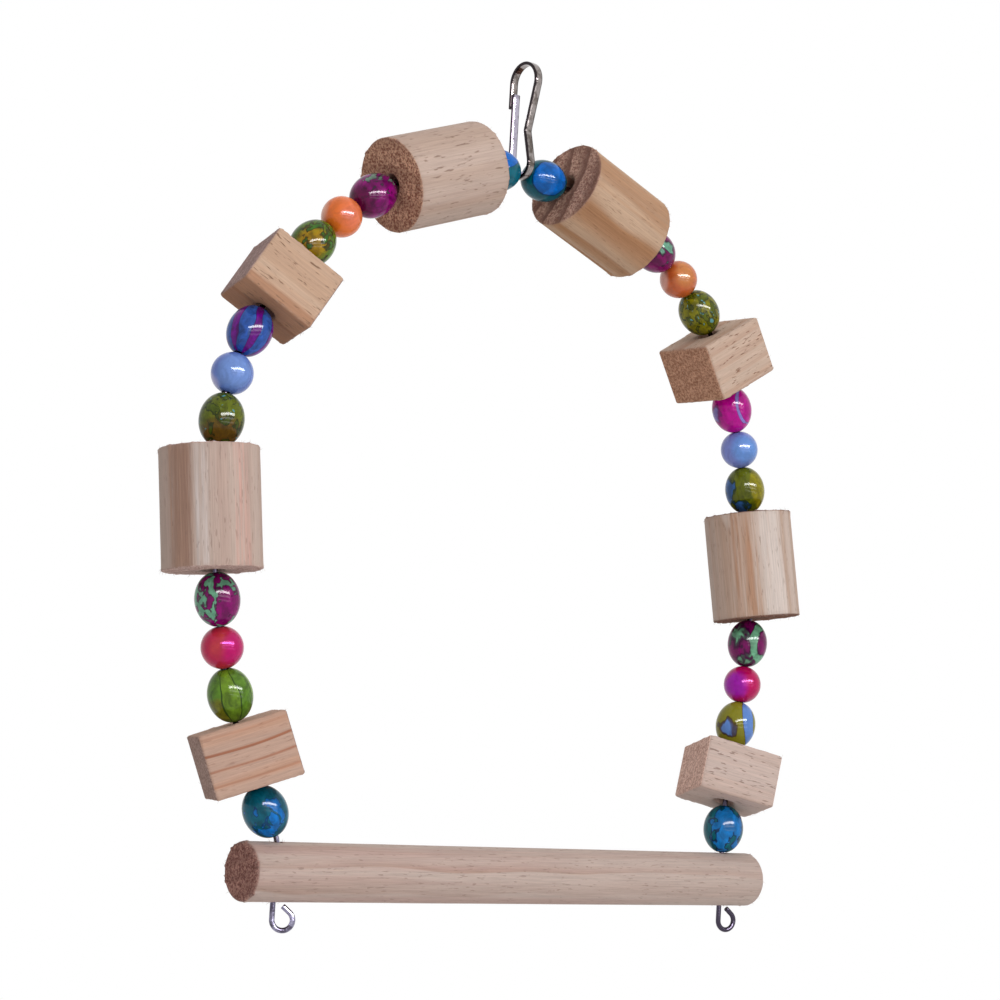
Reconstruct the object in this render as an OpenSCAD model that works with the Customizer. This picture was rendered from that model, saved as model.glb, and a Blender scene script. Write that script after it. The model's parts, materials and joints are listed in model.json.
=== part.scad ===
// Bird swing: a steel wire arch strung with acrylic beads and pieces of raw pine,
// a dowel perch across its feet, and a spring hook that hangs it from a cage bar.
//
// Millimetres. The origin is the centre of the hook's crown, where the cage bar lies.
// +X runs along the perch, +Y away from the viewer and +Z up.
// Strung pieces are counted from the perch up, 1 to 15 on each arm.

/* [Beads] */
// Length of an oval bead along its bore, before its ends are cut flat
oval_bead_long = 15.4; // [12:0.1:18]
// Width of an oval bead
oval_bead_wide = 12.8; // [11:0.1:15]
// Diameter of a round bead
round_bead_d = 12; // [10:0.1:15]
// Bore of every bead
bead_bore_d = 3.2; // [2.8:0.1:3.8]

/* [Wooden pieces] */
// Diameter of a turned cylinder
cylinder_d = 28.1; // [24:0.1:34]
// Length of a turned cylinder
cylinder_long = 34; // [28:0.1:38]
// Size of a sawn block along its bore
block_deep = 18.5; // [16:0.1:22]
// Longer side of a sawn block across its bore
block_wide = 25.6; // [20:0.1:30]
// Shorter side of a sawn block across its bore
block_thick = 22.4; // [18:0.1:28]
// Bore of the cylinders and blocks
wood_bore_d = 6.4; // [6:0.1:7.5]
// Broken edge of the cylinders and blocks
wood_edge = 0.4; // [0.2:0.1:1.2]

/* [Perch] */
// Diameter of the dowel
perch_d = 16.8; // [14:0.1:20]
// Dowel past the middle of each cross hole
perch_overhang = 11.5; // [8:0.5:30]
// Diameter of the cross holes
perch_hole_d = 3.4; // [3:0.1:4.5]
// Broken edge of the dowel's ends
perch_edge = 0.6; // [0.3:0.1:2]

/* [Wire] */
// Diameter of the wire
wire_d = 1.6; // [1.2:0.1:1.8]
// Radius of the bend where each arm enters the perch, at the middle of the wire
foot_bend_r = 4; // [3:0.1:6]
// Radius of the eye under the perch, at the middle of the wire
eye_r = 2.9; // [2.4:0.1:4.5]
// Straight end of the eye
eye_tail = 2.6; // [2:0.1:5]
// How far the eye's bend turns, in degrees
eye_bend_angle = 230; // [220:1:240]
// Turn of the left eye about its leg in degrees, 0 opens to the middle
left_eye_angle = 36; // [-60:1:60]
// Turn of the right eye about its leg in degrees, 0 opens to the middle
right_eye_angle = 191; // [-60:1:240]

/* [Hook] */
// Thickness of the spring strip
strip_thick = 1; // [0.8:0.1:1.4]
// Width of the spring strip
strip_wide = 2.6; // [2:0.1:3.6]
// Inner radius of the crown, over the cage bar
crown_inner_r = 5.2; // [4.5:0.1:6.5]
// Straight end of the nose below the crown
nose_long = 7.8; // [6:0.1:10]
// Inner radius of the loop that holds the wire
loop_inner_r = 3.9; // [3.4:0.1:4.2]
// Depth from the crown's centre to the middle of the wire
wire_depth = 28.5; // [26:0.1:36]
// Depth from the crown's centre to the neck
neck_depth = 15.4; // [13:0.1:17]
// Distance of the neck's middle from the plane of the arch
neck_offset = 2.0; // [1.6:0.1:2.8]
// Bend radius of the neck at the middle of the strip
neck_bend_r = 2.2; // [1.2:0.1:3]
// Depth from the crown's centre to the tip of the gate
gate_tip_depth = 3.3; // [2.6:0.1:4.4]

/* [Fits] */
// Room between the rims of neighbours on the wire
string_gap = 0.12; // [0.1:0.02:0.5]
// Room between the hook's strip and the bead on each side of it
hook_side_gap = 0.4; // [0.3:0.05:1]
// Room under the wire in the hook's loop
wire_gap = 0.1; // [0.05:0.05:0.3]
// Room between the gate's round foot and the end it turns on
gate_foot_gap = 0.1; // [0.05:0.05:0.3]
// Room between the tail of an eye and the perch
eye_gap = 0.3; // [0.2:0.05:1]

/* [Hidden] */

$fn = 64;
LEFT = 0;
RIGHT = LEFT + 1;

// What is strung on each arm, from the perch up
kinds = [
    "oval", "block", "oval", "round", "oval", "cylinder", "oval", "round",
    "oval", "block", "oval", "round", "oval", "cylinder", "oval"
];

// Slope of each arm in degrees below level, going away from the hook:
// at the perch, above pieces 3, 6, 9 and 12, and at the hook
slope_angles = [
    [124, 105, 89, 59, 38, 0],
    [90, 101, 78, 68, 33, 0]
];
pieces_per_bend = 3;

// How far a wooden piece hangs off the wire, outwards, as a share of the play in its bore
shift_shares = [
    [0, 0, 0, 0, 0, 0.75, 0, 0, 0, -0.5, 0, 0, 0, 0, 0],
    [0, 0, 0, 0, 0, 0.6, 0, 0, 0, -0.4, 0, 0, 0, 0, 0]
];
// Tilt of a piece on the wire in degrees, its upper end to the right
lean_angles = [
    [0, 6, 0, 0, 0, 0, 0, 0, 0, -2, 0, 0, 0, 0, 0],
    [0, 11, 0, 0, 0, 0, 0, 0, 0, -1, 0, 0, 0, 3, 0]
];
// Tilt of a piece on the wire in degrees, its upper end to the front
nod_angles = [
    [0, -9, 0, 0, 0, -4.5, 0, 0, 0, 3, 0, 0, 0, 0, 0],
    [0, -5, 0, 0, 0, -6, 0, 0, 0, 0, 0, 0, 0, 3, 0]
];
// How far a piece is turned about its bore, in degrees
spin_angles = [
    [0, -24, 0, 0, 0, 0, 0, 0, 0, -17, 0, 0, 0, 0, 0],
    [0, -24, 0, 0, 0, 0, 0, 0, 0, 0, 0, 0, 0, 0, 0]
];
// The blocks are sawn by eye: each one's share of the full width, and of the full depth
width_shares = [[1, 0.91], [1, 1]];
depth_shares = [[1, 1], [0.93, 1]];

// Beads: the flat at each end is the bore's mouth
bead_mouth_r = bead_bore_d / 2;
oval_rings = 24;
function flat_length(long, wide) = long * sqrt(1 - pow(bead_bore_d / wide, 2));
oval_flat_long = flat_length(oval_bead_long, oval_bead_wide);
round_flat_long = flat_length(round_bead_d, round_bead_d);
bore_play = (wood_bore_d - wire_d) / 2;

function block_of(i) = i < len(kinds) / 2 ? 0 : 1;
function wood_long(arm, i) =
    kinds[i] == "block" ? block_deep * depth_shares[arm][block_of(i)] : cylinder_long;
// A wooden piece that hangs off the wire or leans brings one rim of its bore closer to it
function tilt_angle(arm, i) = norm([lean_angles[arm][i], nod_angles[arm][i]]);
function rim_r(arm, i) =
    kinds[i] == "oval" || kinds[i] == "round" ? bead_mouth_r :
    max(bead_mouth_r, wood_bore_d / 2 - bore_play * abs(shift_shares[arm][i])
        - wood_long(arm, i) / 2 * sin(tilt_angle(arm, i)));
// Depth that an oval bead's end reaches past a rim, less where the wire is bent
seat_share = 0.65;
function seat(r) =
    seat_share / 2 * (oval_flat_long - oval_bead_long * sqrt(1 - pow(2 * r / oval_bead_wide, 2)));
// Length along the wire between the neighbours' flats
function wood_run(arm, i) =
    (wood_long(arm, i) + 2 * rim_r(arm, i) * sin(tilt_angle(arm, i))) / cos(tilt_angle(arm, i))
        - 2 * seat(rim_r(arm, i));
function piece_length(arm, i) =
    kinds[i] == "oval" ? oval_flat_long :
    kinds[i] == "round" ? round_flat_long :
    wood_run(arm, i);
// The wire is a row of bends, counted downwards from the hook, each under a few pieces
bends = len(slope_angles[LEFT]) - 1;
function bend_of(i) = bends - 1 - floor(i / pieces_per_bend);
function last_of(bend) = pieces_per_bend * (bends - bend) - 1;
function first_of(bend) = last_of(bend) - pieces_per_bend + 1;
function slope_at(arm, bend) = slope_angles[arm][bends - bend];

// A piece turns with its share of the bend, which takes its rims closer to its neighbours
function sum_length(arm, i, last) =
    i > last ? 0 : piece_length(arm, i) + sum_length(arm, i + 1, last);
function own_turn(arm, i) =
    let (bend = bend_of(i))
    (slope_at(arm, bend + 1) - slope_at(arm, bend)) * piece_length(arm, i)
        / sum_length(arm, first_of(bend), last_of(bend));
function pitch(arm, i) =
    piece_length(arm, i) + rim_r(arm, i) * sin(abs(own_turn(arm, i))) + string_gap;
function sum_pitch(arm, i, last) = i > last ? 0 : pitch(arm, i) + sum_pitch(arm, i + 1, last);
function bend_run(arm, bend) = sum_pitch(arm, first_of(bend), last_of(bend));

// The wire's path, in (distance out from the hook, height)
top_half = strip_wide / 2 + hook_side_gap;
wire_top = [top_half, -wire_depth];
// Step along an arc of length run that starts at slope a and turns to slope b
function arc_step(a, b, run) =
    let (half_turn = (b - a) / 2, middle = (a + b) / 2,
        chord = abs(half_turn) < 0.001 ? run : run * sin(half_turn) / (half_turn * PI / 180))
    chord * [cos(middle), -sin(middle)];
function bend_start(arm, bend) =
    bend == 0 ? wire_top :
    bend_start(arm, bend - 1)
        + arc_step(slope_at(arm, bend - 1), slope_at(arm, bend), bend_run(arm, bend - 1));
function slope_along(arm, bend, run) =
    slope_at(arm, bend)
        + (slope_at(arm, bend + 1) - slope_at(arm, bend)) * run / bend_run(arm, bend);
function point_along(arm, bend, run) =
    bend_start(arm, bend)
        + arc_step(slope_at(arm, bend), slope_along(arm, bend, run), run);

// Place of piece i: its ends on the wire, the middle between them and the slope there
function run_above(arm, i) = sum_pitch(arm, i + 1, last_of(bend_of(i)));
function upper_end(arm, i) = point_along(arm, bend_of(i), run_above(arm, i));
function lower_end(arm, i) =
    point_along(arm, bend_of(i), run_above(arm, i) + pitch(arm, i));
function piece_slope(arm, i) =
    let (way = lower_end(arm, i) - upper_end(arm, i)) atan2(-way[1], way[0]);
function piece_centre(arm, i) =
    let (slope = piece_slope(arm, i))
    (upper_end(arm, i) + lower_end(arm, i)) / 2
        + bore_play * shift_shares[arm][i] * [sin(slope), cos(slope)];

// The feet: each arm ends just above the perch and bends down into its hole
function foot(arm) = bend_start(arm, bends);
function foot_angle(arm) = 90 - slope_at(arm, bends);
function foot_lift(arm) = bead_mouth_r * abs(sin(foot_angle(arm))) + string_gap;
foot_runs = [for (arm = [LEFT, RIGHT]) foot_bend_r * abs(foot_angle(arm)) * PI / 180];
function leg_top(arm) =
    foot(arm) + arc_step(slope_at(arm, bends), 90, foot_runs[arm]);
perch_top = min([for (arm = [LEFT, RIGHT]) foot(arm)[1] - foot_lift(arm)]);
perch_z = perch_top - perch_d / 2;
perch_bottom = perch_top - perch_d;
perch_left = -leg_top(LEFT)[0] - perch_overhang;
perch_right = leg_top(RIGHT)[0] + perch_overhang;
perch_long = perch_right - perch_left;

// The eyes: a leg, a bend that turns back up, and a straight tail towards the leg
eye_tail_angle = eye_bend_angle - 180;
eye_top_over_centre = eye_r * sin(eye_tail_angle)
    + eye_tail * cos(eye_tail_angle) + wire_d / 2 * sin(eye_tail_angle);
eye_centre_z = perch_bottom - eye_gap - eye_top_over_centre;

// The hook's strip, at its middle line, in the plane across the arch
crown_r = crown_inner_r + strip_thick / 2;
loop_r = loop_inner_r + strip_thick / 2;
loop_z = -wire_depth - wire_d / 2 - wire_gap + loop_inner_r;
neck = [-neck_offset, -neck_depth];
// Angle at which a line from the neck touches a circle of radius r at height z
function touch_angle(z, r, side) =
    let (way = neck - [0, z]) atan2(way[1], way[0]) + side * acos(r / norm(way));
crown_touch = 360 + touch_angle(0, crown_r, -1);
loop_touch = touch_angle(loop_z, loop_r, 1);
crown_end = crown_r * [cos(crown_touch), sin(crown_touch)];
loop_start = [0, loop_z] + loop_r * [cos(loop_touch), sin(loop_touch)];
spine_lean = crown_touch - 180;
shank_lean = 180 - loop_touch;
neck_tangent = neck_bend_r * tan((spine_lean + shank_lean) / 2);
neck_in = neck - neck_tangent * [sin(spine_lean), -cos(spine_lean)];
neck_out = neck + neck_tangent * [-sin(shank_lean), -cos(shank_lean)];
neck_centre = neck_in - neck_bend_r * [cos(spine_lean), sin(spine_lean)];
gate_foot_z = loop_z + strip_thick / 2 + gate_foot_gap;
gate_long = -gate_tip_depth - gate_foot_z;

// One overrun for every cut
overrun = wire_d;

// Straights and bends stop a hair short of each other. A short seam, a hair thicker,
// covers both ends, so that each wire or strip is one solid.
wire_seam_d = wire_d * 1.0125;
wire_seam_long = wire_d / 5;
wire_seam_gap = wire_d / 80;
strip_seam_thick = strip_thick * 1.02;
strip_seam_wide = strip_wide * 1.008;
strip_seam_long = strip_thick / 5;
strip_seam_gap = strip_thick / 50;
function seam_turn(gap, r) = gap / r * 180 / PI;

// A straight wire up the Z axis
module wire_straight(run) {
    translate([0, 0, wire_seam_gap])
        cylinder(d = wire_d, h = run - 2 * wire_seam_gap, $fn = 32);
}

// A bend of wire about the Z axis, turning from the X axis
module wire_bend(r, turn) {
    trim = seam_turn(wire_seam_gap, r);
    rotate([0, 0, trim])
        rotate_extrude(angle = turn - 2 * trim, $fn = 72)
            translate([r, 0])
                circle(d = wire_d, $fn = 32);
}

module wire_seam() {
    cylinder(d = wire_seam_d, h = wire_seam_long, center = true, $fn = 32);
}

// An arc of wire in the plane of the arch that starts at slope a and turns to slope b
module wire_arc(start, a, b, run) {
    r = run / (abs(b - a) * PI / 180);
    side = sign(b - a);
    centre = start - side * r * [sin(a), cos(a)];
    translate([centre[0], 0, centre[1]])
        rotate([90, 0, 0])
            rotate([0, 0, side > 0 ? 90 - b : 270 - a])
                wire_bend(r, abs(b - a));
    translate([start[0], 0, start[1]])
        rotate([0, 90 + a, 0])
            wire_seam();
}

// One eye at the origin: its leg stands on the axis and the eye opens to +X
module wire_eye(leg_height) {
    wire_straight(leg_height);
    wire_seam();
    translate([0, 0, leg_height])
        wire_seam();
    translate([eye_r, 0, 0])
        rotate([90, 0, 0]) {
            rotate([0, 0, 180])
                wire_bend(eye_r, eye_bend_angle);
            rotate([0, 0, eye_tail_angle])
                translate([eye_r, 0, 0])
                    rotate([-90, 0, 0]) {
                        wire_straight(eye_tail);
                        wire_seam();
                    }
        }
}

// The right-hand half of the wire for one arm
module wire_arm(arm, eye_turn) {
    for (bend = [0 : bends - 1])
        wire_arc(bend_start(arm, bend), slope_at(arm, bend), slope_at(arm, bend + 1),
            bend_run(arm, bend));
    if (foot_angle(arm) != 0)
        wire_arc(foot(arm), slope_at(arm, bends), 90, foot_runs[arm]);
    translate([leg_top(arm)[0], 0, eye_centre_z])
        rotate([0, 0, 180 - eye_turn])
            wire_eye(leg_top(arm)[1] - eye_centre_z);
}

module arch_wire() {
    color("silver") {
        translate([-top_half, 0, -wire_depth])
            rotate([0, 90, 0])
                wire_straight(2 * top_half);
        wire_arm(RIGHT, right_eye_angle);
        mirror([1, 0, 0])
            wire_arm(LEFT, -left_eye_angle);
    }
}

module perch() {
    r = perch_d / 2;
    color("burlywood")
        difference() {
            translate([perch_left, 0, perch_z])
                rotate([0, 90, 0])
                    rotate_extrude($fn = 96)
                        polygon([
                            [0, 0], [r - perch_edge, 0], [r, perch_edge],
                            [r, perch_long - perch_edge], [r - perch_edge, perch_long],
                            [0, perch_long]
                        ]);
            for (x = [-leg_top(LEFT)[0], leg_top(RIGHT)[0]])
                translate([x, 0, perch_bottom - overrun])
                    cylinder(d = perch_hole_d, h = perch_d + 2 * overrun);
        }
}

// Strip bent round the middle line of radius r, from one angle to another
module strip_bend(centre, r, from, to) {
    trim = seam_turn(strip_seam_gap, r);
    translate([centre[0], centre[1], 0])
        rotate([0, 0, from + trim])
            rotate_extrude(angle = to - from - 2 * trim, $fn = 128)
                translate([r - strip_thick / 2, -strip_wide / 2])
                    square([strip_thick, strip_wide]);
}

// Straight strip between two points of its middle line, with a seam at each end that joins
module strip_run(start, end, joins) {
    way = end - start;
    translate([start[0], start[1], 0])
        rotate([0, 0, atan2(way[1], way[0])]) {
            translate([strip_seam_gap, -strip_thick / 2, -strip_wide / 2])
                cube([norm(way) - 2 * strip_seam_gap, strip_thick, strip_wide]);
            for (join = joins)
                translate([join * norm(way), 0, 0])
                    cube([strip_seam_long, strip_seam_thick, strip_seam_wide], center = true);
        }
}

module snap_hook_body() {
    color("gainsboro")
        rotate([90, 0, 90]) {
            strip_run([crown_r, -nose_long], [crown_r, 0], [1]);
            strip_bend([0, 0], crown_r, 0, crown_touch);
            strip_run(crown_end, neck_in, [0, 1]);
            strip_bend(neck_centre, neck_bend_r, -shank_lean, spine_lean);
            strip_run(neck_out, loop_start, [0, 1]);
            strip_bend([0, loop_z], loop_r, loop_touch, 360);
        }
}

// The leg that springs inwards to let the bar in, with a round foot to turn on
module snap_hook_gate() {
    color("gainsboro")
        translate([0, loop_r, gate_foot_z]) {
            rotate([90, 0, 90])
                cylinder(d = strip_thick, h = strip_wide, center = true, $fn = 32);
            translate([-strip_wide / 2, -strip_thick / 2, 0])
                cube([strip_wide, strip_thick, gate_long]);
        }
}

// Pieces on their own axis, bored along Z
module oval_bead(colour) {
    a = oval_bead_wide / 2;
    b = oval_bead_long / 2;
    last = acos(bead_mouth_r / a);
    color(colour)
        rotate_extrude($fn = 64)
            polygon(concat(
                [[bead_mouth_r, -oval_flat_long / 2]],
                [for (k = [1 : oval_rings - 1])
                    let (t = last * (2 * k / oval_rings - 1)) [a * cos(t), b * sin(t)]],
                [[bead_mouth_r, oval_flat_long / 2]]
            ));
}

module round_bead(colour) {
    color(colour)
        difference() {
            sphere(d = round_bead_d);
            cylinder(d = bead_bore_d, h = round_bead_d + 2 * overrun, center = true);
        }
}

module turned_cylinder() {
    r = cylinder_d / 2;
    h = cylinder_long / 2;
    color("burlywood")
        rotate_extrude($fn = 96)
            polygon([
                [wood_bore_d / 2, -h], [r - wood_edge, -h], [r, wood_edge - h],
                [r, h - wood_edge], [r - wood_edge, h], [wood_bore_d / 2, h]
            ]);
}

// A rectangle with its corners broken, standing on its long side's direction
module broken_rectangle(wide, deep) {
    x = wide / 2;
    y = deep / 2;
    polygon([
        [wood_edge - x, -y], [x - wood_edge, -y], [x, wood_edge - y], [x, y - wood_edge],
        [x - wood_edge, y], [wood_edge - x, y], [-x, y - wood_edge], [-x, wood_edge - y]
    ]);
}

module sawn_block(width_share, depth_share) {
    wide = block_wide * width_share;
    deep = block_deep * depth_share;
    color("burlywood")
        difference() {
            intersection() {
                linear_extrude(deep, center = true)
                    broken_rectangle(wide, block_thick);
                rotate([90, 0, 0])
                    linear_extrude(block_thick, center = true)
                        broken_rectangle(wide, deep);
                rotate([90, 0, 90])
                    linear_extrude(wide, center = true)
                        broken_rectangle(block_thick, deep);
            }
            cylinder(d = wood_bore_d, h = deep + 2 * overrun, center = true);
        }
}

// Sets a piece on an arm: count is its place from the perch up
module strung(arm, count) {
    i = count - 1;
    side = arm == LEFT ? -1 : 1;
    place = piece_centre(arm, i);
    slope = piece_slope(arm, i);
    translate([side * place[0], 0, place[1]])
        rotate([0, atan2(-side * cos(slope), sin(slope)) + lean_angles[arm][i], 0])
            rotate([nod_angles[arm][i], 0, 0])
                rotate([0, 0, spin_angles[arm][i]])
                    children();
}

module left_oval_bead_1() { strung(LEFT, 1) oval_bead("teal"); }
module left_block_1() {
    strung(LEFT, 2) sawn_block(width_shares[LEFT][0], depth_shares[LEFT][0]);
}
module left_oval_bead_2() { strung(LEFT, 3) oval_bead("seagreen"); }
module left_round_bead_1() { strung(LEFT, 4) round_bead("orangered"); }
module left_oval_bead_3() { strung(LEFT, 5) oval_bead("mediumaquamarine"); }
module left_cylinder_1() { strung(LEFT, 6) turned_cylinder(); }
module left_oval_bead_4() { strung(LEFT, 7) oval_bead("olivedrab"); }
module left_round_bead_2() { strung(LEFT, 8) round_bead("royalblue"); }
module left_oval_bead_5() { strung(LEFT, 9) oval_bead("mediumblue"); }
module left_block_2() {
    strung(LEFT, 10) sawn_block(width_shares[LEFT][1], depth_shares[LEFT][1]);
}
module left_oval_bead_6() { strung(LEFT, 11) oval_bead("olive"); }
module left_round_bead_3() { strung(LEFT, 12) round_bead("darkorange"); }
module left_oval_bead_7() { strung(LEFT, 13) oval_bead("purple"); }
module left_cylinder_2() { strung(LEFT, 14) turned_cylinder(); }
module left_oval_bead_8() { strung(LEFT, 15) oval_bead("dodgerblue"); }

module right_oval_bead_1() { strung(RIGHT, 1) oval_bead("teal"); }
module right_block_1() {
    strung(RIGHT, 2) sawn_block(width_shares[RIGHT][0], depth_shares[RIGHT][0]);
}
module right_oval_bead_2() { strung(RIGHT, 3) oval_bead("seagreen"); }
module right_round_bead_1() { strung(RIGHT, 4) round_bead("crimson"); }
module right_oval_bead_3() { strung(RIGHT, 5) oval_bead("mediumaquamarine"); }
module right_cylinder_1() { strung(RIGHT, 6) turned_cylinder(); }
module right_oval_bead_4() { strung(RIGHT, 7) oval_bead("olivedrab"); }
module right_round_bead_2() { strung(RIGHT, 8) round_bead("slateblue"); }
module right_oval_bead_5() { strung(RIGHT, 9) oval_bead("mediumvioletred"); }
module right_block_2() {
    strung(RIGHT, 10) sawn_block(width_shares[RIGHT][1], depth_shares[RIGHT][1]);
}
module right_oval_bead_6() { strung(RIGHT, 11) oval_bead("olive"); }
module right_round_bead_3() { strung(RIGHT, 12) round_bead("darkorange"); }
module right_oval_bead_7() { strung(RIGHT, 13) oval_bead("purple"); }
module right_cylinder_2() { strung(RIGHT, 14) turned_cylinder(); }
module right_oval_bead_8() { strung(RIGHT, 15) oval_bead("dodgerblue"); }

arch_wire();
perch();
snap_hook_body();
snap_hook_gate();
left_oval_bead_1();
left_block_1();
left_oval_bead_2();
left_round_bead_1();
left_oval_bead_3();
left_cylinder_1();
left_oval_bead_4();
left_round_bead_2();
left_oval_bead_5();
left_block_2();
left_oval_bead_6();
left_round_bead_3();
left_oval_bead_7();
left_cylinder_2();
left_oval_bead_8();
right_oval_bead_1();
right_block_1();
right_oval_bead_2();
right_round_bead_1();
right_oval_bead_3();
right_cylinder_1();
right_oval_bead_4();
right_round_bead_2();
right_oval_bead_5();
right_block_2();
right_oval_bead_6();
right_round_bead_3();
right_oval_bead_7();
right_cylinder_2();
right_oval_bead_8();
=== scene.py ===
"""Bird swing, dressed: a wire arch strung with marbled beads and raw pine, a dowel perch and a spring hook."""

import json
import logging
import math
from dataclasses import dataclass, field
from enum import Enum

import bmesh
import bpy
import numpy as np
from mathutils import Matrix, Vector

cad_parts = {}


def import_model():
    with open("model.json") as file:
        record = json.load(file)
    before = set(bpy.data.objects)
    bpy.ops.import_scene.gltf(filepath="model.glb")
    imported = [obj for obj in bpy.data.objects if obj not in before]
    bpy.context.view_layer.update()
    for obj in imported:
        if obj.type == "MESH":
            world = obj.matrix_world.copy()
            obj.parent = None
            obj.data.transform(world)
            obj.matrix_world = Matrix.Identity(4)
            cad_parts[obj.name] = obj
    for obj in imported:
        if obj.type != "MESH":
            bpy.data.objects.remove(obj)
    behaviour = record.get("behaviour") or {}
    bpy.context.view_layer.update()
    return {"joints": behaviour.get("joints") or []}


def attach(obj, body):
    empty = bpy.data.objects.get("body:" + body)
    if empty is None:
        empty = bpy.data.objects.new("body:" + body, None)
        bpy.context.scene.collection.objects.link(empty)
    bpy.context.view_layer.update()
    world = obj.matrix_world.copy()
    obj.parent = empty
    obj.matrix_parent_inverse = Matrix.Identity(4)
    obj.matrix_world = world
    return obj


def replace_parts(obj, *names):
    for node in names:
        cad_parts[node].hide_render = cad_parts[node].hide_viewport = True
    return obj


LOG = logging.getLogger("bird_swing")
MM = 0.001
Colour = tuple[float, float, float]
Triple = tuple[float, float, float]
Caps = tuple[tuple[float, float], ...]

# The camera that the photograph was taken with, as solved from the places of the strung pieces
CAMERA_PLACE = Vector((-0.52154, -0.62186, -0.20016))
CAMERA_YAW, CAMERA_PITCH, CAMERA_ROLL = (math.radians(v) for v in (39.946, 5.053, 3.326))
CAMERA_LENS, SENSOR_WIDTH = 97.333, 36.0
CAMERA_CLIP = (0.01, 20.0)

# How far the wood's noise is drawn out along its grain: its factor along Z
ALONG, WANDERING, THREADED, DASHED, ACROSS = ((1.0, 1.0, share) for share in (0.03, 0.3, 0.05, 0.17, 0.0))

# Smooth steps of the wood: from, to, and where it isn't 0 to 1 the values there
RING_FULL, RING_FALL, RING_PATCH = 0.86, (0.9, 0.99, 1.0, 0.0), (0.35, 0.6)
STREAK_EDGE, STAIN_AND_SHADE_EDGE, FLECK_EDGE, GRIT_EDGE = (0.46, 0.66), (-0.02, 0.035, 0.0, 0.85), (0.61, 0.7), (0.4, 0.6)
SAWN_EDGE, WORN_EDGE = (0.42, 0.62), (0.4, 0.7, 0.1, 0.6)
FIBRE_SHADE, THREAD_SHADE, FIBRE_ROUGHNESS = (0.25, 0.75, 0.87, 1.08), (0.3, 0.7, 0.975, 1.03), (0.3, 0.7, 0.66, 0.84)
WANDER_SCALE, WANDER_REACH, STAIN_AND_SHADE_FUZZ = 0.07, 5.0, 0.16
FLECK_DARK, SAWN_DARK = (0.08, 0.04, 0.03, 1.0), (0.02, 0.008, 0.008, 1.0)

# Smooth steps of the metal
EDGE_DARK_REFLECTION, LINE_EDGE, TARNISH_EDGE, SCUFF_EDGE = (0.6, 0.88), (0.35, 0.65), (0.42, 0.68), (0.56, 0.7)

# The marbling: the warp's scale, a band's steepness, the full share of an outline, and the flakes' limits
WARP_SCALE, BAND_STEEPNESS, OUTLINE_CORE = 0.28, 3.0, 0.35
FLAKE_LIMIT, FLAKE_GAIN, FLAKE_EDGE, FLAKE_SHIFT = 0.8, 0.25, 0.03, 7.3

# The least and the greatest of what is drawn at random for each torn fibre
FIBRE_LEAN = ((-0.9, -0.9, -3.1), (0.9, 0.9, 3.1))
FIBRE_SIZE = (0.3, 1.2)

# The torn wood of a sawn end against the skin's lumps, and how wide the still part's edge is, in metres
TUFT_SCALE, TUFT_SHIFT, TUFT_EDGE, STILL_FADE = 1.6, 3.0, (0.5, 0.72), 0.0015


def linear(colour: Colour) -> tuple[float, float, float, float]:
    """Turns a display colour of 0 to 255 into the linear colour that a shader takes.

    Args:
        colour: red, green and blue as seen on a screen.

    Returns:
        The linear red, green, blue and an alpha of 1.
    """
    shares = [c / 255 for c in colour]
    return tuple(s / 12.92 if s <= 0.04045 else ((s + 0.055) / 1.055) ** 2.4 for s in shares) + (1.0,)


def camera_axes() -> tuple[Vector, Vector, Vector]:
    """Gives the camera's axes.

    Returns:
        The directions of the picture's right, its up, and the way that the camera looks.
    """
    sy, cy = math.sin(CAMERA_YAW), math.cos(CAMERA_YAW)
    sp, cp = math.sin(CAMERA_PITCH), math.cos(CAMERA_PITCH)
    sr, cr = math.sin(CAMERA_ROLL), math.cos(CAMERA_ROLL)
    ahead = Vector((sy * cp, cy * cp, sp))
    right = Vector((cy, -sy, 0))
    up = right.cross(ahead)
    return cr * right + sr * up, -sr * right + cr * up, ahead


class Arm(Enum):
    """The two arms of the arch."""

    LEFT = "left"
    RIGHT = "right"


class Kind(Enum):
    """What is strung on the wire."""

    OVAL = "oval_bead"
    ROUND = "round_bead"
    BLOCK = "block"
    CYLINDER = "cylinder"


STRINGING = (
    Kind.OVAL, Kind.BLOCK, Kind.OVAL, Kind.ROUND, Kind.OVAL, Kind.CYLINDER, Kind.OVAL, Kind.ROUND,
    Kind.OVAL, Kind.BLOCK, Kind.OVAL, Kind.ROUND, Kind.OVAL, Kind.CYLINDER, Kind.OVAL,
)


@dataclass(frozen=True)
class Cloud:
    """One use of seeded noise: its scale, its own distance from the seed, and how fine and how warped it is."""

    scale: float
    shift: float = 0.0
    detail: float = 2.0
    rough: float = 0.5
    warp: float = 0.0


BEAD_TONE = Cloud(0.35, 3.1, detail=4.0, rough=0.6, warp=1.0)
RING_STRENGTH = Cloud(0.12, 1.7, detail=1.0)
STREAKS = Cloud(0.2, 4.2, warp=0.2)
FIBRES = Cloud(2.2, 2.6, detail=3.0, rough=0.65)
STAIN_AND_SHADE_RIM = Cloud(0.9, 8.8, detail=3.0, rough=0.7)
THREADS = Cloud(4.5, 7.7, rough=0.6, warp=0.3)
DASHES = Cloud(1.9, 9.4, detail=1.5, warp=0.3)
PORES = Cloud(1.5, 5.5, detail=3.0, rough=0.7)
SAWN_PATCHES = Cloud(0.16, 6.1, warp=0.4)
WORN_SPOTS = Cloud(0.9)
DRAWN_LINES = Cloud(6.0, detail=3.0, rough=0.6)
TARNISH = Cloud(0.45, 2.2, detail=3.0, rough=0.6, warp=0.5)
SCUFFS = Cloud(2.5, 5.0, rough=0.6, warp=1.2)


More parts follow.
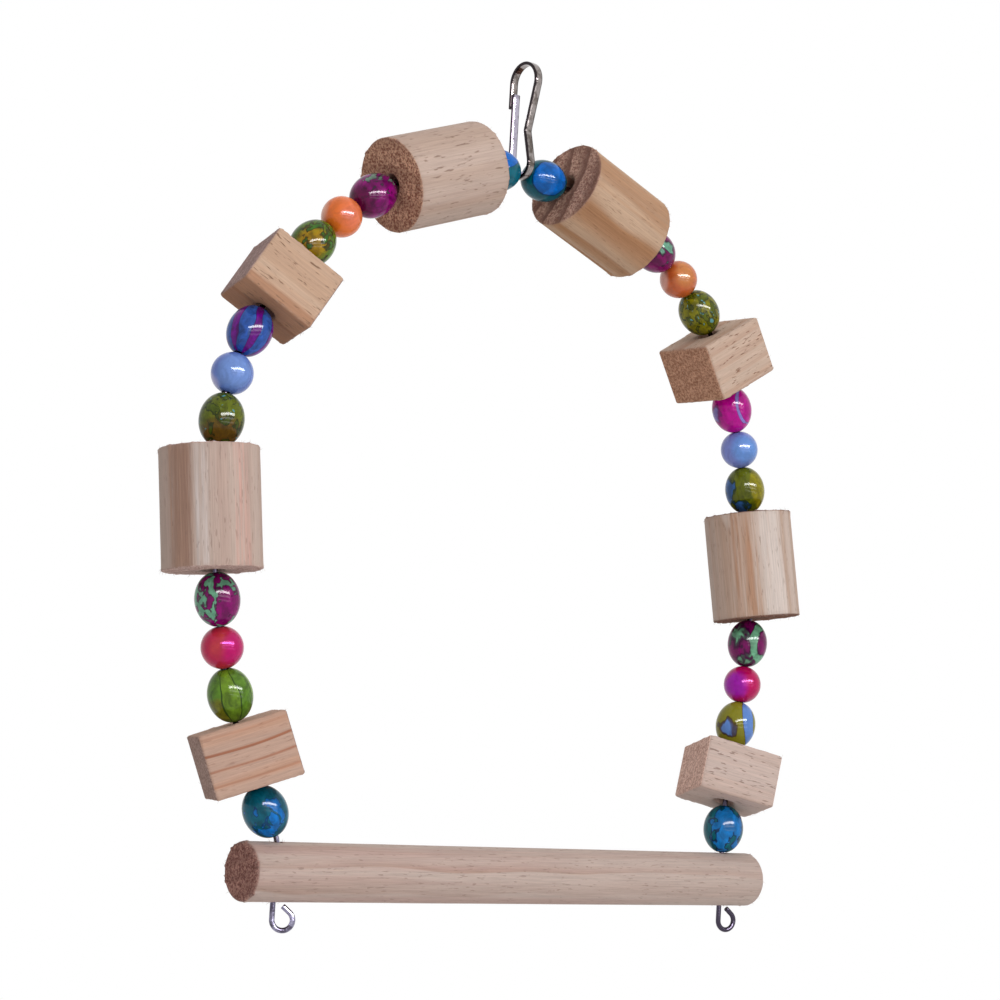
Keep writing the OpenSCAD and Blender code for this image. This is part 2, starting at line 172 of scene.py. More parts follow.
class Bench:
    """Lays out the nodes of one tree."""

    def __init__(self, tree: bpy.types.NodeTree) -> None:
        """Takes the tree to work on."""
        self.tree = tree

    def feed(self, socket: bpy.types.NodeSocket, value: object) -> None:
        """Links a socket to the input, or sets the input's value.

        Args:
            socket: the input.
            value: an output socket, a plain value, or None to leave it alone.
        """
        if isinstance(value, bpy.types.NodeSocket):
            self.tree.links.new(value, socket)
        elif value is not None:
            socket.default_value = value

    def node(self, kind: str, feeds: dict | list | tuple = (), **settings: object) -> bpy.types.Node:
        """Adds a node.

        Args:
            kind: the node's type.
            feeds: what goes into its inputs, by name or in order.
            settings: its own properties.

        Returns:
            The node.
        """
        made = self.tree.nodes.new(kind)
        for name, value in settings.items():
            setattr(made, name, value)
        for key, value in feeds.items() if isinstance(feeds, dict) else enumerate(feeds):
            self.feed(made.inputs[key], value)
        return made

    def math(self, operation: str, *values: object) -> bpy.types.NodeSocket:
        """Adds a sum of numbers and returns its result."""
        return self.node("ShaderNodeMath", values, operation=operation).outputs[0]

    def plus(self, first: object, second: object) -> bpy.types.NodeSocket:
        """Adds two numbers."""
        return self.math("ADD", first, second)

    def minus(self, first: object, second: object) -> bpy.types.NodeSocket:
        """Takes the second number from the first."""
        return self.math("SUBTRACT", first, second)

    def times(self, first: object, second: object) -> bpy.types.NodeSocket:
        """Multiplies two numbers."""
        return self.math("MULTIPLY", first, second)

    def vector(self, operation: str, *values: object) -> bpy.types.NodeSocket:
        """Adds a sum of vectors and returns its vector, or its value for a length or a dot product."""
        made = self.node("ShaderNodeVectorMath", values, operation=operation)
        return made.outputs["Value" if operation in ("LENGTH", "DOT_PRODUCT", "DISTANCE") else "Vector"]

    def scaled(self, value: object, factor: object) -> bpy.types.NodeSocket:
        """Scales a vector by a number."""
        return self.node("ShaderNodeVectorMath", {"Vector": value, "Scale": factor}, operation="SCALE").outputs[0]

    def stretched(self, place: object, along: object) -> bpy.types.NodeSocket:
        """Stretches a place along Z."""
        return self.vector("MULTIPLY", place, self.node("ShaderNodeCombineXYZ", (1.0, 1.0, along)).outputs[0])

    def step(self, value: object, low: object, high: object, start: float = 0.0,
             end: float = 1.0) -> bpy.types.NodeSocket:
        """Adds a smooth step from start to end, as a value goes from low to high."""
        feeds = {"Value": value, "From Min": low, "From Max": high, "To Min": start, "To Max": end}
        return self.node("ShaderNodeMapRange", feeds, interpolation_type="SMOOTHSTEP").outputs[0]

    def mix(self, share: object, first: object, second: object, blend: str = "MIX") -> bpy.types.NodeSocket:
        """Mixes two colours and returns the mixed one."""
        made = self.node("ShaderNodeMix", data_type="RGBA", blend_type=blend, clamp_factor=True)
        for index, value in ((0, share), (6, first), (7, second)):
            self.feed(made.inputs[index], value)
        return made.outputs[2]

    def noise(self, place: object, scale: object, detail: float = 2.0, rough: float = 0.5, warp: float = 0.0,
              seed: object = 0.0) -> bpy.types.NodeSocket:
        """Adds seeded noise and returns its value of about 0 to 1."""
        feeds = {"Vector": place, "W": seed, "Scale": scale, "Detail": detail, "Roughness": rough, "Distortion": warp}
        return self.node("ShaderNodeTexNoise", feeds, noise_dimensions="4D").outputs[0]

    def cloud(self, place: object, kind: Cloud, seed: object) -> bpy.types.NodeSocket:
        """Adds the noise that a Cloud describes."""
        return self.noise(place, kind.scale, kind.detail, kind.rough, kind.warp, self.plus(seed, kind.shift))

    def noise_colour(self, place: object, scale: object, seed: object) -> bpy.types.NodeSocket:
        """Adds seeded noise and returns its three-way value, centred on zero."""
        feeds = {"Vector": place, "W": seed, "Scale": scale, "Detail": 1.0}
        made = self.node("ShaderNodeTexNoise", feeds, noise_dimensions="4D").outputs[1]
        return self.vector("SUBTRACT", made, (0.5, 0.5, 0.5))


def linked(name: str, data: object) -> bpy.types.Object:
    """Makes an object of a mesh, a lamp or a camera, and puts it into the scene."""
    made = bpy.data.objects.new(name, data)
    bpy.context.scene.collection.objects.link(made)
    return made


def new_group(name: str, tree_type: str, inputs: dict[str, object],
              outputs: dict[str, str]) -> tuple[Bench, dict, bpy.types.Node]:
    """Starts a node group with named sockets.

    Args:
        name: the group's name.
        tree_type: GeometryNodeTree or ShaderNodeTree.
        inputs: each input's name with its socket type, or with its first value, whose type gives the socket's type.
        outputs: each output's name with its socket type.

    Returns:
        The bench, the inputs' sockets by name, and the output node.
    """
    tree = bpy.data.node_groups.new(name, tree_type)
    kinds = {float: "NodeSocketFloat", int: "NodeSocketInt", Vector: "NodeSocketVector", tuple: "NodeSocketColor"}
    for label, first in inputs.items():
        if isinstance(first, str):
            tree.interface.new_socket(label, in_out="INPUT", socket_type=first)
        else:
            tree.interface.new_socket(label, in_out="INPUT", socket_type=kinds[type(first)]).default_value = first
    for label, kind in outputs.items():
        tree.interface.new_socket(label, in_out="OUTPUT", socket_type=kind)
    bench = Bench(tree)
    source = bench.node("NodeGroupInput")
    return bench, {s.name: s for s in source.outputs if s.name}, bench.node("NodeGroupOutput")


class ShaderGroups:
    """The effects that several finishes share, each built once."""

    def __init__(self) -> None:
        """Builds the groups."""
        self.marbling = self._marbling()
        self.timber = self._timber()
        self.metal = self._metal()

    @staticmethod
    def _marbling() -> bpy.types.NodeTree:
        """Builds the swirled pattern of a moulded bead.

        Returns:
            A group that gives masks for the second colour, its outline, the flakes and the wash, and a soft tone.
        """
        inputs: dict[str, object] = {
            "Place": Vector((0, 0, 0)), "Scale": 0.2, "Stretch": 1.0, "Warp": 2.0, "Seed": 0.0, "Noise": 1.0,
            "Base": 0.0, "Stripes": 0.0, "Stripe Count": 4.0, "Phase": 0.0, "Twist": 0.0, "Outline": 0.05,
            "Softness": 0.02, "Flakes": 0.0, "Flake Scale": 0.8, "Band": Vector((0, 0, 1)), "Band Offset": 0.0,
            "Band Width": -2.0, "Wash": Vector((0, 0, 1)), "Wash Reach": 3.0, "Wash Softness": 0.1,
        }
        for k in "123":
            inputs["Patch " + k] = Vector((0, 0, 1))
            inputs["Reach " + k] = 2.0
        masks = {k: "NodeSocketFloat" for k in ("Second", "Line", "Flake", "Wash", "Tone")}
        b, i, out = new_group("marbling", "ShaderNodeTree", inputs, masks)
        stretched = b.stretched(i["Place"], i["Stretch"])
        moved = b.vector("ADD", stretched, b.scaled(b.noise_colour(stretched, WARP_SCALE, i["Seed"]), i["Warp"]))
        swirl = b.minus(b.noise(moved, i["Scale"], detail=2.5, warp=0.4, seed=i["Seed"]), 0.5)
        way = b.vector("NORMALIZE", i["Place"])
        reached = i["Base"]
        for k in "123":
            facing = b.vector("DOT_PRODUCT", way, i["Patch " + k])
            reached = b.math("MAXIMUM", reached, b.minus(facing, i["Reach " + k]))
        off_band = b.math("ABSOLUTE", b.minus(b.vector("DOT_PRODUCT", way, i["Band"]), i["Band Offset"]))
        reached = b.math("MAXIMUM", reached, b.times(b.minus(i["Band Width"], off_band), BAND_STEEPNESS))
        parts = b.node("ShaderNodeSeparateXYZ", [moved]).outputs
        angle = b.times(b.math("ARCTAN2", parts[1], parts[0]), i["Stripe Count"])
        wave = b.math("SINE", b.plus(b.plus(angle, i["Phase"]), b.times(parts[2], i["Twist"])))
        total = b.plus(b.plus(b.times(swirl, i["Noise"]), reached), b.times(wave, i["Stripes"]))
        second = b.step(total, b.times(i["Softness"], -1.0), i["Softness"])
        near_edge = b.step(b.math("ABSOLUTE", total), b.times(i["Outline"], OUTLINE_CORE), i["Outline"])
        line = b.minus(1.0, near_edge)
        flake_seed = b.plus(i["Seed"], FLAKE_SHIFT)
        flake_noise = b.noise(stretched, i["Flake Scale"], detail=1.0, warp=0.6, seed=flake_seed)
        limit = b.minus(FLAKE_LIMIT, b.times(i["Flakes"], FLAKE_GAIN))
        wanted = b.math("GREATER_THAN", i["Flakes"], 0.0)
        flake = b.times(b.step(flake_noise, limit, b.plus(limit, FLAKE_EDGE)), wanted)
        facing = b.vector("DOT_PRODUCT", way, i["Wash"])
        washed = b.minus(b.plus(facing, b.times(swirl, 0.5)), i["Wash Reach"])
        wash = b.step(washed, b.times(i["Wash Softness"], -1.0), i["Wash Softness"])
        tone = b.cloud(moved, BEAD_TONE, i["Seed"])
        for name, socket in (("Second", second), ("Line", line), ("Flake", flake), ("Wash", wash), ("Tone", tone)):
            b.feed(out.inputs[name], socket)
        return b.tree

    @staticmethod
    def _timber() -> bpy.types.NodeTree:
        """Builds raw softwood: rings, fibres, flecks and rough end grain.

        The grain runs along Z of Place, in millimetres.

        Returns:
            A group that gives the wood's colour, roughness and height.
        """
        inputs: dict[str, object] = {
            "Place": Vector((0, 0, 0)), "End": 0.0, "Rim": 0.0, "Seed": 0.0, "Pith": Vector((20, 5, 0)),
            "Ring Spacing": 3.0, "Ring Start": 0.25, "Rings": 0.6, "Flecks": 0.5, "Streaks": 0.5, "Bands": 0.3,
            "Early": (0.6, 0.4, 0.25, 1.0), "Late": (0.45, 0.25, 0.12, 1.0), "Streak": (0.6, 0.35, 0.25, 1.0),
            "Sawn": (0.25, 0.14, 0.1, 1.0), "Bare": (0.45, 0.3, 0.2, 1.0),
        }
        for k in "1234":
            inputs["Stain " + k] = Vector((1, 0, 0))
            inputs["Stain Reach " + k] = 2.0
            inputs["Stain Colour " + k] = (0.5, 0.3, 0.2, 1.0)
        outputs = {"Colour": "NodeSocketColor", "Roughness": "NodeSocketFloat", "Height": "NodeSocketFloat"}
        b, i, out = new_group("timber", "ShaderNodeTree", inputs, outputs)
        seed = i["Seed"]
        along = b.vector("MULTIPLY", i["Place"], ALONG)
        wander = b.noise_colour(b.vector("MULTIPLY", i["Place"], WANDERING), WANDER_SCALE, seed)
        wander = b.scaled(wander, WANDER_REACH)
        across = b.vector("MULTIPLY", b.vector("ADD", b.vector("SUBTRACT", i["Place"], i["Pith"]), wander), ACROSS)
        ring = b.math("FRACT", b.math("DIVIDE", b.vector("LENGTH", across), i["Ring Spacing"]))
        rings = b.times(b.step(ring, i["Ring Start"], RING_FULL), b.step(ring, *RING_FALL))
        strength = b.step(b.cloud(along, RING_STRENGTH, seed), *RING_PATCH)
        late = b.times(rings, b.times(i["Rings"], b.plus(0.35, strength)))
        streak = b.times(b.step(b.cloud(along, STREAKS, seed), *STREAK_EDGE), i["Streaks"])
        fibre = b.cloud(along, FIBRES, seed)
        colour = b.mix(late, i["Early"], i["Late"])
        colour = b.mix(streak, colour, i["Streak"])
        way = b.vector("NORMALIZE", b.vector("MULTIPLY", i["Place"], ACROSS))
        fuzz = b.times(b.minus(b.cloud(along, STAIN_AND_SHADE_RIM, seed), 0.5), STAIN_AND_SHADE_FUZZ)
        # Stains, and on one piece a band of painted shade, laid round the grain at their places.
        for k in "1234":
            facing = b.vector("DOT_PRODUCT", way, i["Stain " + k])
            reached = b.plus(b.minus(facing, i["Stain Reach " + k]), fuzz)
            colour = b.mix(b.step(reached, *STAIN_AND_SHADE_EDGE), colour, i["Stain Colour " + k])
        thread = b.cloud(b.vector("MULTIPLY", i["Place"], THREADED), THREADS, seed)
        shade = b.times(b.step(fibre, *FIBRE_SHADE), b.step(thread, *THREAD_SHADE))
        colour = b.mix(1.0, colour, b.node("ShaderNodeCombineXYZ", (shade, shade, shade)).outputs[0], "MULTIPLY")
        dash = b.cloud(b.vector("MULTIPLY", b.vector("ADD", i["Place"], wander), DASHED), DASHES, seed)
        fleck = b.times(b.step(dash, *FLECK_EDGE), i["Flecks"])
        colour = b.mix(fleck, colour, b.mix(0.5, i["Late"], FLECK_DARK))
        pore = b.cloud(i["Place"], PORES, seed)
        patch = b.times(b.step(b.cloud(along, SAWN_PATCHES, seed), *SAWN_EDGE), 0.5)
        band = b.times(b.math("MAXIMUM", rings, patch), i["Bands"])
        gritty = b.mix(b.step(pore, *GRIT_EDGE), i["Sawn"], i["Bare"])
        colour = b.mix(i["End"], colour, b.mix(band, gritty, b.mix(0.35, i["Sawn"], SAWN_DARK)))
        worn = b.times(i["Rim"], b.step(b.cloud(i["Place"], WORN_SPOTS, seed), *WORN_EDGE))
        b.feed(out.inputs["Colour"], b.mix(worn, colour, b.mix(0.5, i["Early"], i["Sawn"])))
        b.feed(out.inputs["Roughness"], b.plus(b.times(i["End"], 0.12), b.step(fibre, *FIBRE_ROUGHNESS)))
        side = b.minus(b.plus(b.times(fibre, 0.5), b.times(thread, 0.25)), b.times(fleck, 0.6))
        side = b.minus(side, b.times(late, 0.12))
        ends = b.times(b.times(pore, 2.4), i["End"])
        b.feed(out.inputs["Height"], b.plus(b.times(side, b.minus(1.0, i["End"])), ends))
        return b.tree

    @staticmethod
    def _metal() -> bpy.types.NodeTree:
        """Builds the wear of bright plated metal, and a painted dark reflection along the strip's edges. The strip's
        width runs along X of Place, in millimetres.

        Returns:
            A group that gives masks of tarnish, drawn lines and the painted dark reflection on the edges, a roughness
            and a height.
        """
        inputs: dict[str, object] = {
            "Place": Vector((0, 0, 0)), "Drawn": Vector((1, 1, 1)), "Seed": 0.0, "Gloss": 0.2, "Scuffs": 0.5,
            "Half Width": 100.0,
        }
        outputs = {k: "NodeSocketFloat" for k in ("Tarnish", "Lines", "Dark Edge Reflection", "Roughness", "Height")}
        b, i, out = new_group("metal wear", "ShaderNodeTree", inputs, outputs)
        lines = b.cloud(b.vector("MULTIPLY", i["Place"], i["Drawn"]), DRAWN_LINES, i["Seed"])
        cloud = b.cloud(i["Place"], TARNISH, i["Seed"])
        scuff = b.times(b.step(b.cloud(i["Place"], SCUFFS, i["Seed"]), *SCUFF_EDGE), i["Scuffs"])
        off = b.math("ABSOLUTE", b.node("ShaderNodeSeparateXYZ", [i["Place"]]).outputs[0])
        off = b.plus(b.math("DIVIDE", off, i["Half Width"]), b.times(b.minus(cloud, 0.5), 0.5))
        # The edge mask places a painted dark reflection along the strip's edges.
        b.feed(out.inputs["Dark Edge Reflection"], b.step(off, *EDGE_DARK_REFLECTION))
        b.feed(out.inputs["Lines"], b.step(lines, *LINE_EDGE))
        b.feed(out.inputs["Tarnish"], b.step(cloud, *TARNISH_EDGE))
        b.feed(out.inputs["Roughness"], b.plus(i["Gloss"], b.plus(b.times(lines, 0.05), b.times(scuff, 0.08))))
        b.feed(out.inputs["Height"], b.minus(lines, b.times(scuff, 0.4)))
        return b.tree


def new_material(name: str) -> tuple[bpy.types.Material, Bench, bpy.types.Node]:
    """Starts a node material.

    Args:
        name: the material's name.

    Returns:
        The material, its bench and the Principled BSDF.
    """
    made = bpy.data.materials.new(name)
    made.use_nodes = True
    return made, Bench(made.node_tree), made.node_tree.nodes["Principled BSDF"]


def placed(b: Bench, name: str = "local") -> bpy.types.NodeSocket:
    """Reads the piece's own coordinates, or those of its grain, in millimetres."""
    return b.node("ShaderNodeAttribute", attribute_name=name).outputs["Vector"]


def share_of(b: Bench, name: str) -> bpy.types.NodeSocket:
    """Reads one of the piece's own masks."""
    return b.node("ShaderNodeAttribute", attribute_name=name).outputs["Fac"]


def bumped(b: Bench, height: object, strength: float, depth: float) -> bpy.types.NodeSocket:
    """Adds a bump of a height over a depth in metres and returns the normal."""
    return b.node("ShaderNodeBump", {"Strength": strength, "Distance": depth, "Height": height}).outputs[0]


@dataclass(frozen=True)
class Moulded:
    """The pattern of a moulded bead: one colour, a second in patches, stripes or a band, and a wash of a third.

    Places on the bead are read from the photograph, as shares of its radius to the right and up.
    """

    first: Colour
    second: Colour
    third: Colour = (128, 128, 128)
    seed: float = 0.0
    scale: float = 0.16
    stretch: float = 0.7
    warp: float = 2.0
    noise: float = 2.2
    base: float = -0.1
    soft: float = 0.02
    stripes: float = 0.0
    stripe_count: float = 3.0
    stripe_at: float = 0.0
    twist: float = 0.2
    line: float = 0.06
    flakes: float = 0.0
    flake_scale: float = 0.5
    patches: tuple[Triple, ...] = ()
    band: tuple[float, float, float, float, float] = (0.0, 0.0, 1.0, 0.0, -2.0)
    wash: tuple[float, float, float, float] = (0.0, 0.0, 3.0, 0.1)
    gloss: tuple[float, float] = (0.09, 0.15)
    refraction: float = 1.49
    specular: float = 0.2
    bump: tuple[float, float] = (0.14, 0.00006)

    @staticmethod
    def seen(turn: Matrix, x: float, y: float, z: float | None = None) -> Vector:
        """Finds the direction on the bead's own axes of a place read from the photograph.

        Args:
            turn: the piece's turn, from its own axes to the swing's.
            x: the share of the radius to the right.
            y: the share upwards.
            z: the share towards the viewer, or None on the bead's skin.

        Returns:
            The direction, of length 1.
        """
        right, up, ahead = camera_axes()
        near = math.sqrt(max(0.0, 1 - x * x - y * y)) if z is None else z
        return (turn.transposed() @ (x * right + y * up - near * ahead)).normalized()

    def pattern(self, b: Bench, groups: ShaderGroups, turn: Matrix) -> bpy.types.Node:
        """Places the shared marbling with this bead's values.

        Args:
            b: the material's bench.
            groups: the shared effects.
            turn: the piece's turn.

        Returns:
            The group's node.
        """
        stripe = self.seen(turn, self.stripe_at, 0.0)
        feeds: dict[str, object] = {
            "Place": placed(b), "Scale": self.scale, "Stretch": self.stretch, "Warp": self.warp, "Seed": self.seed,
            "Noise": self.noise, "Base": self.base, "Stripes": self.stripes, "Stripe Count": self.stripe_count,
            "Phase": math.pi / 2 - self.stripe_count * math.atan2(stripe.y, stripe.x), "Twist": self.twist,
            "Outline": self.line, "Softness": self.soft, "Flakes": self.flakes, "Flake Scale": self.flake_scale,
            "Band": self.seen(turn, *self.band[:3]), "Band Offset": self.band[3], "Band Width": self.band[4],
            "Wash": self.seen(turn, *self.wash[:2]), "Wash Reach": self.wash[2], "Wash Softness": self.wash[3],
        }
        for k, (x, y, reach) in enumerate(self.patches, 1):
            feeds["Patch %d" % k] = self.seen(turn, x, y)
            feeds["Reach %d" % k] = reach
        return b.node("ShaderNodeGroup", feeds, node_tree=groups.marbling)

    def polish(self, b: Bench, shader: bpy.types.Node, tone: object, height: object) -> None:
        """Sets how the moulded skin shines.

        Args:
            b: the material's bench.
            shader: the Principled BSDF.
            tone: the pattern's soft tone, which the gloss follows.
            height: the skin's height.
        """
        b.feed(shader.inputs["Roughness"], b.step(tone, 0.2, 0.8, *self.gloss))
        shader.inputs["IOR"].default_value = self.refraction
        shader.inputs["Specular IOR Level"].default_value = self.specular
        b.feed(shader.inputs["Normal"], bumped(b, height, *self.bump))


@dataclass(frozen=True)
class Marble(Moulded):
    """The finish of an oval bead: clear swirls with a dark outline, and flakes of another colour."""

    outline: Colour = (20, 30, 40)
    flake: Colour = (90, 170, 190)
    dark: float = 0.35

    def material(self, name: str, groups: ShaderGroups, turn: Matrix) -> bpy.types.Material:
        """Builds the material.

        Args:
            name: the piece's name.
            groups: the shared effects.
            turn: the piece's turn, from its own axes to the swing's.

        Returns:
            The material.
        """
        material, b, shader = new_material("marbled_" + name)
        made = self.pattern(b, groups, turn).outputs
        tone = b.step(made["Tone"], 0.3, 0.72)
        dimmed = [linear(tuple(c * (1 - self.dark) for c in v)) for v in (self.first, self.third, self.second)]
        bright = [linear(v) for v in (self.first, self.third, self.second)]
        first, third, second = (b.mix(tone, low, high) for low, high in zip(dimmed, bright))
        colour = b.mix(made["Second"], b.mix(made["Wash"], first, third), second)
        colour = b.mix(made["Flake"], colour, linear(self.flake))
        colour = b.mix(b.times(made["Line"], 0.85), colour, linear(self.outline))
        b.feed(shader.inputs["Base Color"], colour)
        self.polish(b, shader, made["Tone"], b.minus(made["Tone"], b.times(made["Line"], 0.5)))
        return material


@dataclass(frozen=True)
class Pearl(Moulded):
    """The finish of a round bead: a lustrous colour that shifts softly over the ball. On some beads the patch and the
    wash paint highlights, glints and a sheen on the rim.
    """

    scale: float = 0.1
    warp: float = 2.5
    noise: float = 1.0
    base: float = -1.0
    soft: float = 0.28
    line: float = 0.0
    gloss: tuple[float, float] = (0.13, 0.2)
    refraction: float = 1.52
    specular: float = 0.5
    bump: tuple[float, float] = (0.12, 0.00005)
    sheen: Colour = (255, 120, 230)

    def material(self, name: str, groups: ShaderGroups, turn: Matrix) -> bpy.types.Material:
        """Builds the material.

        Args:
            name: the piece's name.
            groups: the shared effects.
            turn: the piece's turn, from its own axes to the swing's.

        Returns:
            The material.
        """
        material, b, shader = new_material("pearl_" + name)
        made = self.pattern(b, groups, turn).outputs
        colour = b.mix(made["Second"], linear(self.first), linear(self.second))
        dimmed = b.mix(0.3, colour, linear(tuple(c * 0.5 for c in self.first)))
        colour = b.mix(b.step(made["Tone"], 0.3, 0.7), dimmed, colour)
        # On the beads that have one, the wash of the third colour is a painted sheen on the left rim, and on Left 4 a
        # painted highlight on the right.
        b.feed(shader.inputs["Base Color"], b.mix(made["Wash"], colour, linear(self.third)))
        shader.inputs["Specular Tint"].default_value = linear(self.sheen)
        self.polish(b, shader, made["Tone"], made["Tone"])
        return material


@dataclass(frozen=True)
class Timber:
    """The finish of raw pine.

    Each mark round the grain is a place round the grain's axis as the photograph shows it, its half width in degrees,
    and a colour: mostly the wood's own stains and streaks, and on one cylinder a broad band of painted shade.
    """

    early: Colour = (196, 170, 154)
    late: Colour = (172, 134, 110)
    streak: Colour = (184, 146, 126)
    sawn: Colour = (112, 76, 62)
    bare: Colour = (152, 114, 96)
    seed: float = 0.0
    pith: tuple[float, float] = (26.0, 9.0)
    spacing: float = 3.2
    start: float = 0.25
    rings: float = 0.55
    flecks: float = 0.5
    streaks: float = 0.5
    bands: float = 0.3
    depth: float = 0.00024
    bump: float = 0.8
    specular: float = 0.12
    stains_and_shade: tuple[tuple[float, float, Colour], ...] = ()

    def material(self, name: str, groups: ShaderGroups, turn: Matrix) -> bpy.types.Material:
        """Builds the material.

        Args:
            name: the piece's name.
            groups: the shared effects.
            turn: the piece's turn, from its own axes to the swing's.

        Returns:
            The material.
        """
        material, b, shader = new_material("pine_" + name)
        feeds = {
            "Place": placed(b, "grain"), "End": share_of(b, "end"), "Rim": share_of(b, "rim"), "Seed": self.seed,
            "Pith": (*self.pith, 0.0), "Ring Spacing": self.spacing, "Ring Start": self.start, "Rings": self.rings,
            "Flecks": self.flecks, "Streaks": self.streaks, "Bands": self.bands, "Early": linear(self.early),
            "Late": linear(self.late), "Streak": linear(self.streak), "Sawn": linear(self.sawn),
            "Bare": linear(self.bare),
        }
        for k, (x, half, colour) in enumerate(self.stains_and_shade, 1):
            way = Moulded.seen(turn, x, 0.0)
            feeds["Stain %d" % k] = Vector((way.x, way.y, 0)).normalized()
            feeds["Stain Reach %d" % k] = math.cos(math.radians(half))
            feeds["Stain Colour %d" % k] = linear(colour)
        grain = b.node("ShaderNodeGroup", feeds, node_tree=groups.timber).outputs
        b.feed(shader.inputs["Base Color"], grain["Colour"])
        b.feed(shader.inputs["Roughness"], grain["Roughness"])
        shader.inputs["Specular IOR Level"].default_value = self.specular
        b.feed(shader.inputs["Normal"], bumped(b, grain["Height"], self.bump, self.depth))
        return material


@dataclass(frozen=True)
class Plated:
    """The finish of bright plated metal. Its colours are set darker than the metal as a painted reflection of dark
    surroundings, over real tarnish and drawn lines, and its edge colour is a painted darker reflection.
    """

    bright: Colour
    dull: Colour
    edge: Colour
    gloss: float
    drawn: tuple[float, float, float]
    half: float = 100.0
    seed: float = 0.0
    line_share: float = 0.45
    bump: tuple[float, float] = (0.3, 0.00003)

    def material(self, name: str, groups: ShaderGroups) -> bpy.types.Material:
        """Builds the material.

        Args:
            name: the material's name.
            groups: the shared effects.

        Returns:
            The material.
        """
        material, b, shader = new_material("plated_" + name)
        feeds = {"Place": placed(b), "Drawn": self.drawn, "Seed": self.seed, "Gloss": self.gloss,
                 "Half Width": self.half}
        wear = b.node("ShaderNodeGroup", feeds, node_tree=groups.metal).outputs
        colour = b.mix(wear["Tarnish"], linear(self.bright), linear(self.dull))
        colour = b.mix(b.times(wear["Lines"], self.line_share), colour, linear(self.dull))
        # The edge colour laid on here is a painted dark reflection.
        b.feed(shader.inputs["Base Color"], b.mix(wear["Dark Edge Reflection"], colour, linear(self.edge)))
        b.feed(shader.inputs["Roughness"], wear["Roughness"])
        shader.inputs["Metallic"].default_value = 1.0
        b.feed(shader.inputs["Normal"], bumped(b, wear["Height"], *self.bump))
        return material


def heading(line: list[Vector], k: int) -> Vector:
    """Returns the direction of a line at one of its points."""
    return (line[min(k + 1, len(line) - 1)] - line[max(k - 1, 0)]).normalized()


@dataclass
class Rail:
    """The places that a section is carried through: a point, two directions and a size at each."""

    points: list[Vector] = field(default_factory=list)
    sides: list[Vector] = field(default_factory=list)
    ups: list[Vector] = field(default_factory=list)
    sizes: list[float] = field(default_factory=list)

    def add(self, point: Vector, side: Vector, up: Vector, size: float = 1.0) -> None:
        """Adds one place."""
        self.points.append(Vector(point))
        self.sides.append(Vector(side))
        self.ups.append(Vector(up))
        self.sizes.append(size)

    def turn_round(self, centre: Vector, turns: int) -> None:
        """Adds the places of a section that is turned round an upright axis."""
        for way in ring(1.0, turns):
            self.add(centre, way, Vector((0, 0, 1)))

    def follow(self, line: list[Vector], sides: list[Vector], ups: list[Vector], caps: Caps, reach: float) -> None:
        """Adds every place of a line, with a rounded cap at each end.

        Args:
            line: the points.
            sides: the side at each point.
            ups: the other direction of the section there.
            caps: how far in from the tip, as a share of the reach, and the size there.
            reach: the length that the caps' shares are of.
        """
        last = len(line) - 1
        for k, (point, side, up) in enumerate(zip(line, sides, ups)):
            if k in (0, last):
                out = -heading(line, 0) if k == 0 else heading(line, last)
                for share, size in caps if k == 0 else reversed(caps):
                    self.add(point - out * share * reach, side, up, size)
            else:
                self.add(point, side, up)


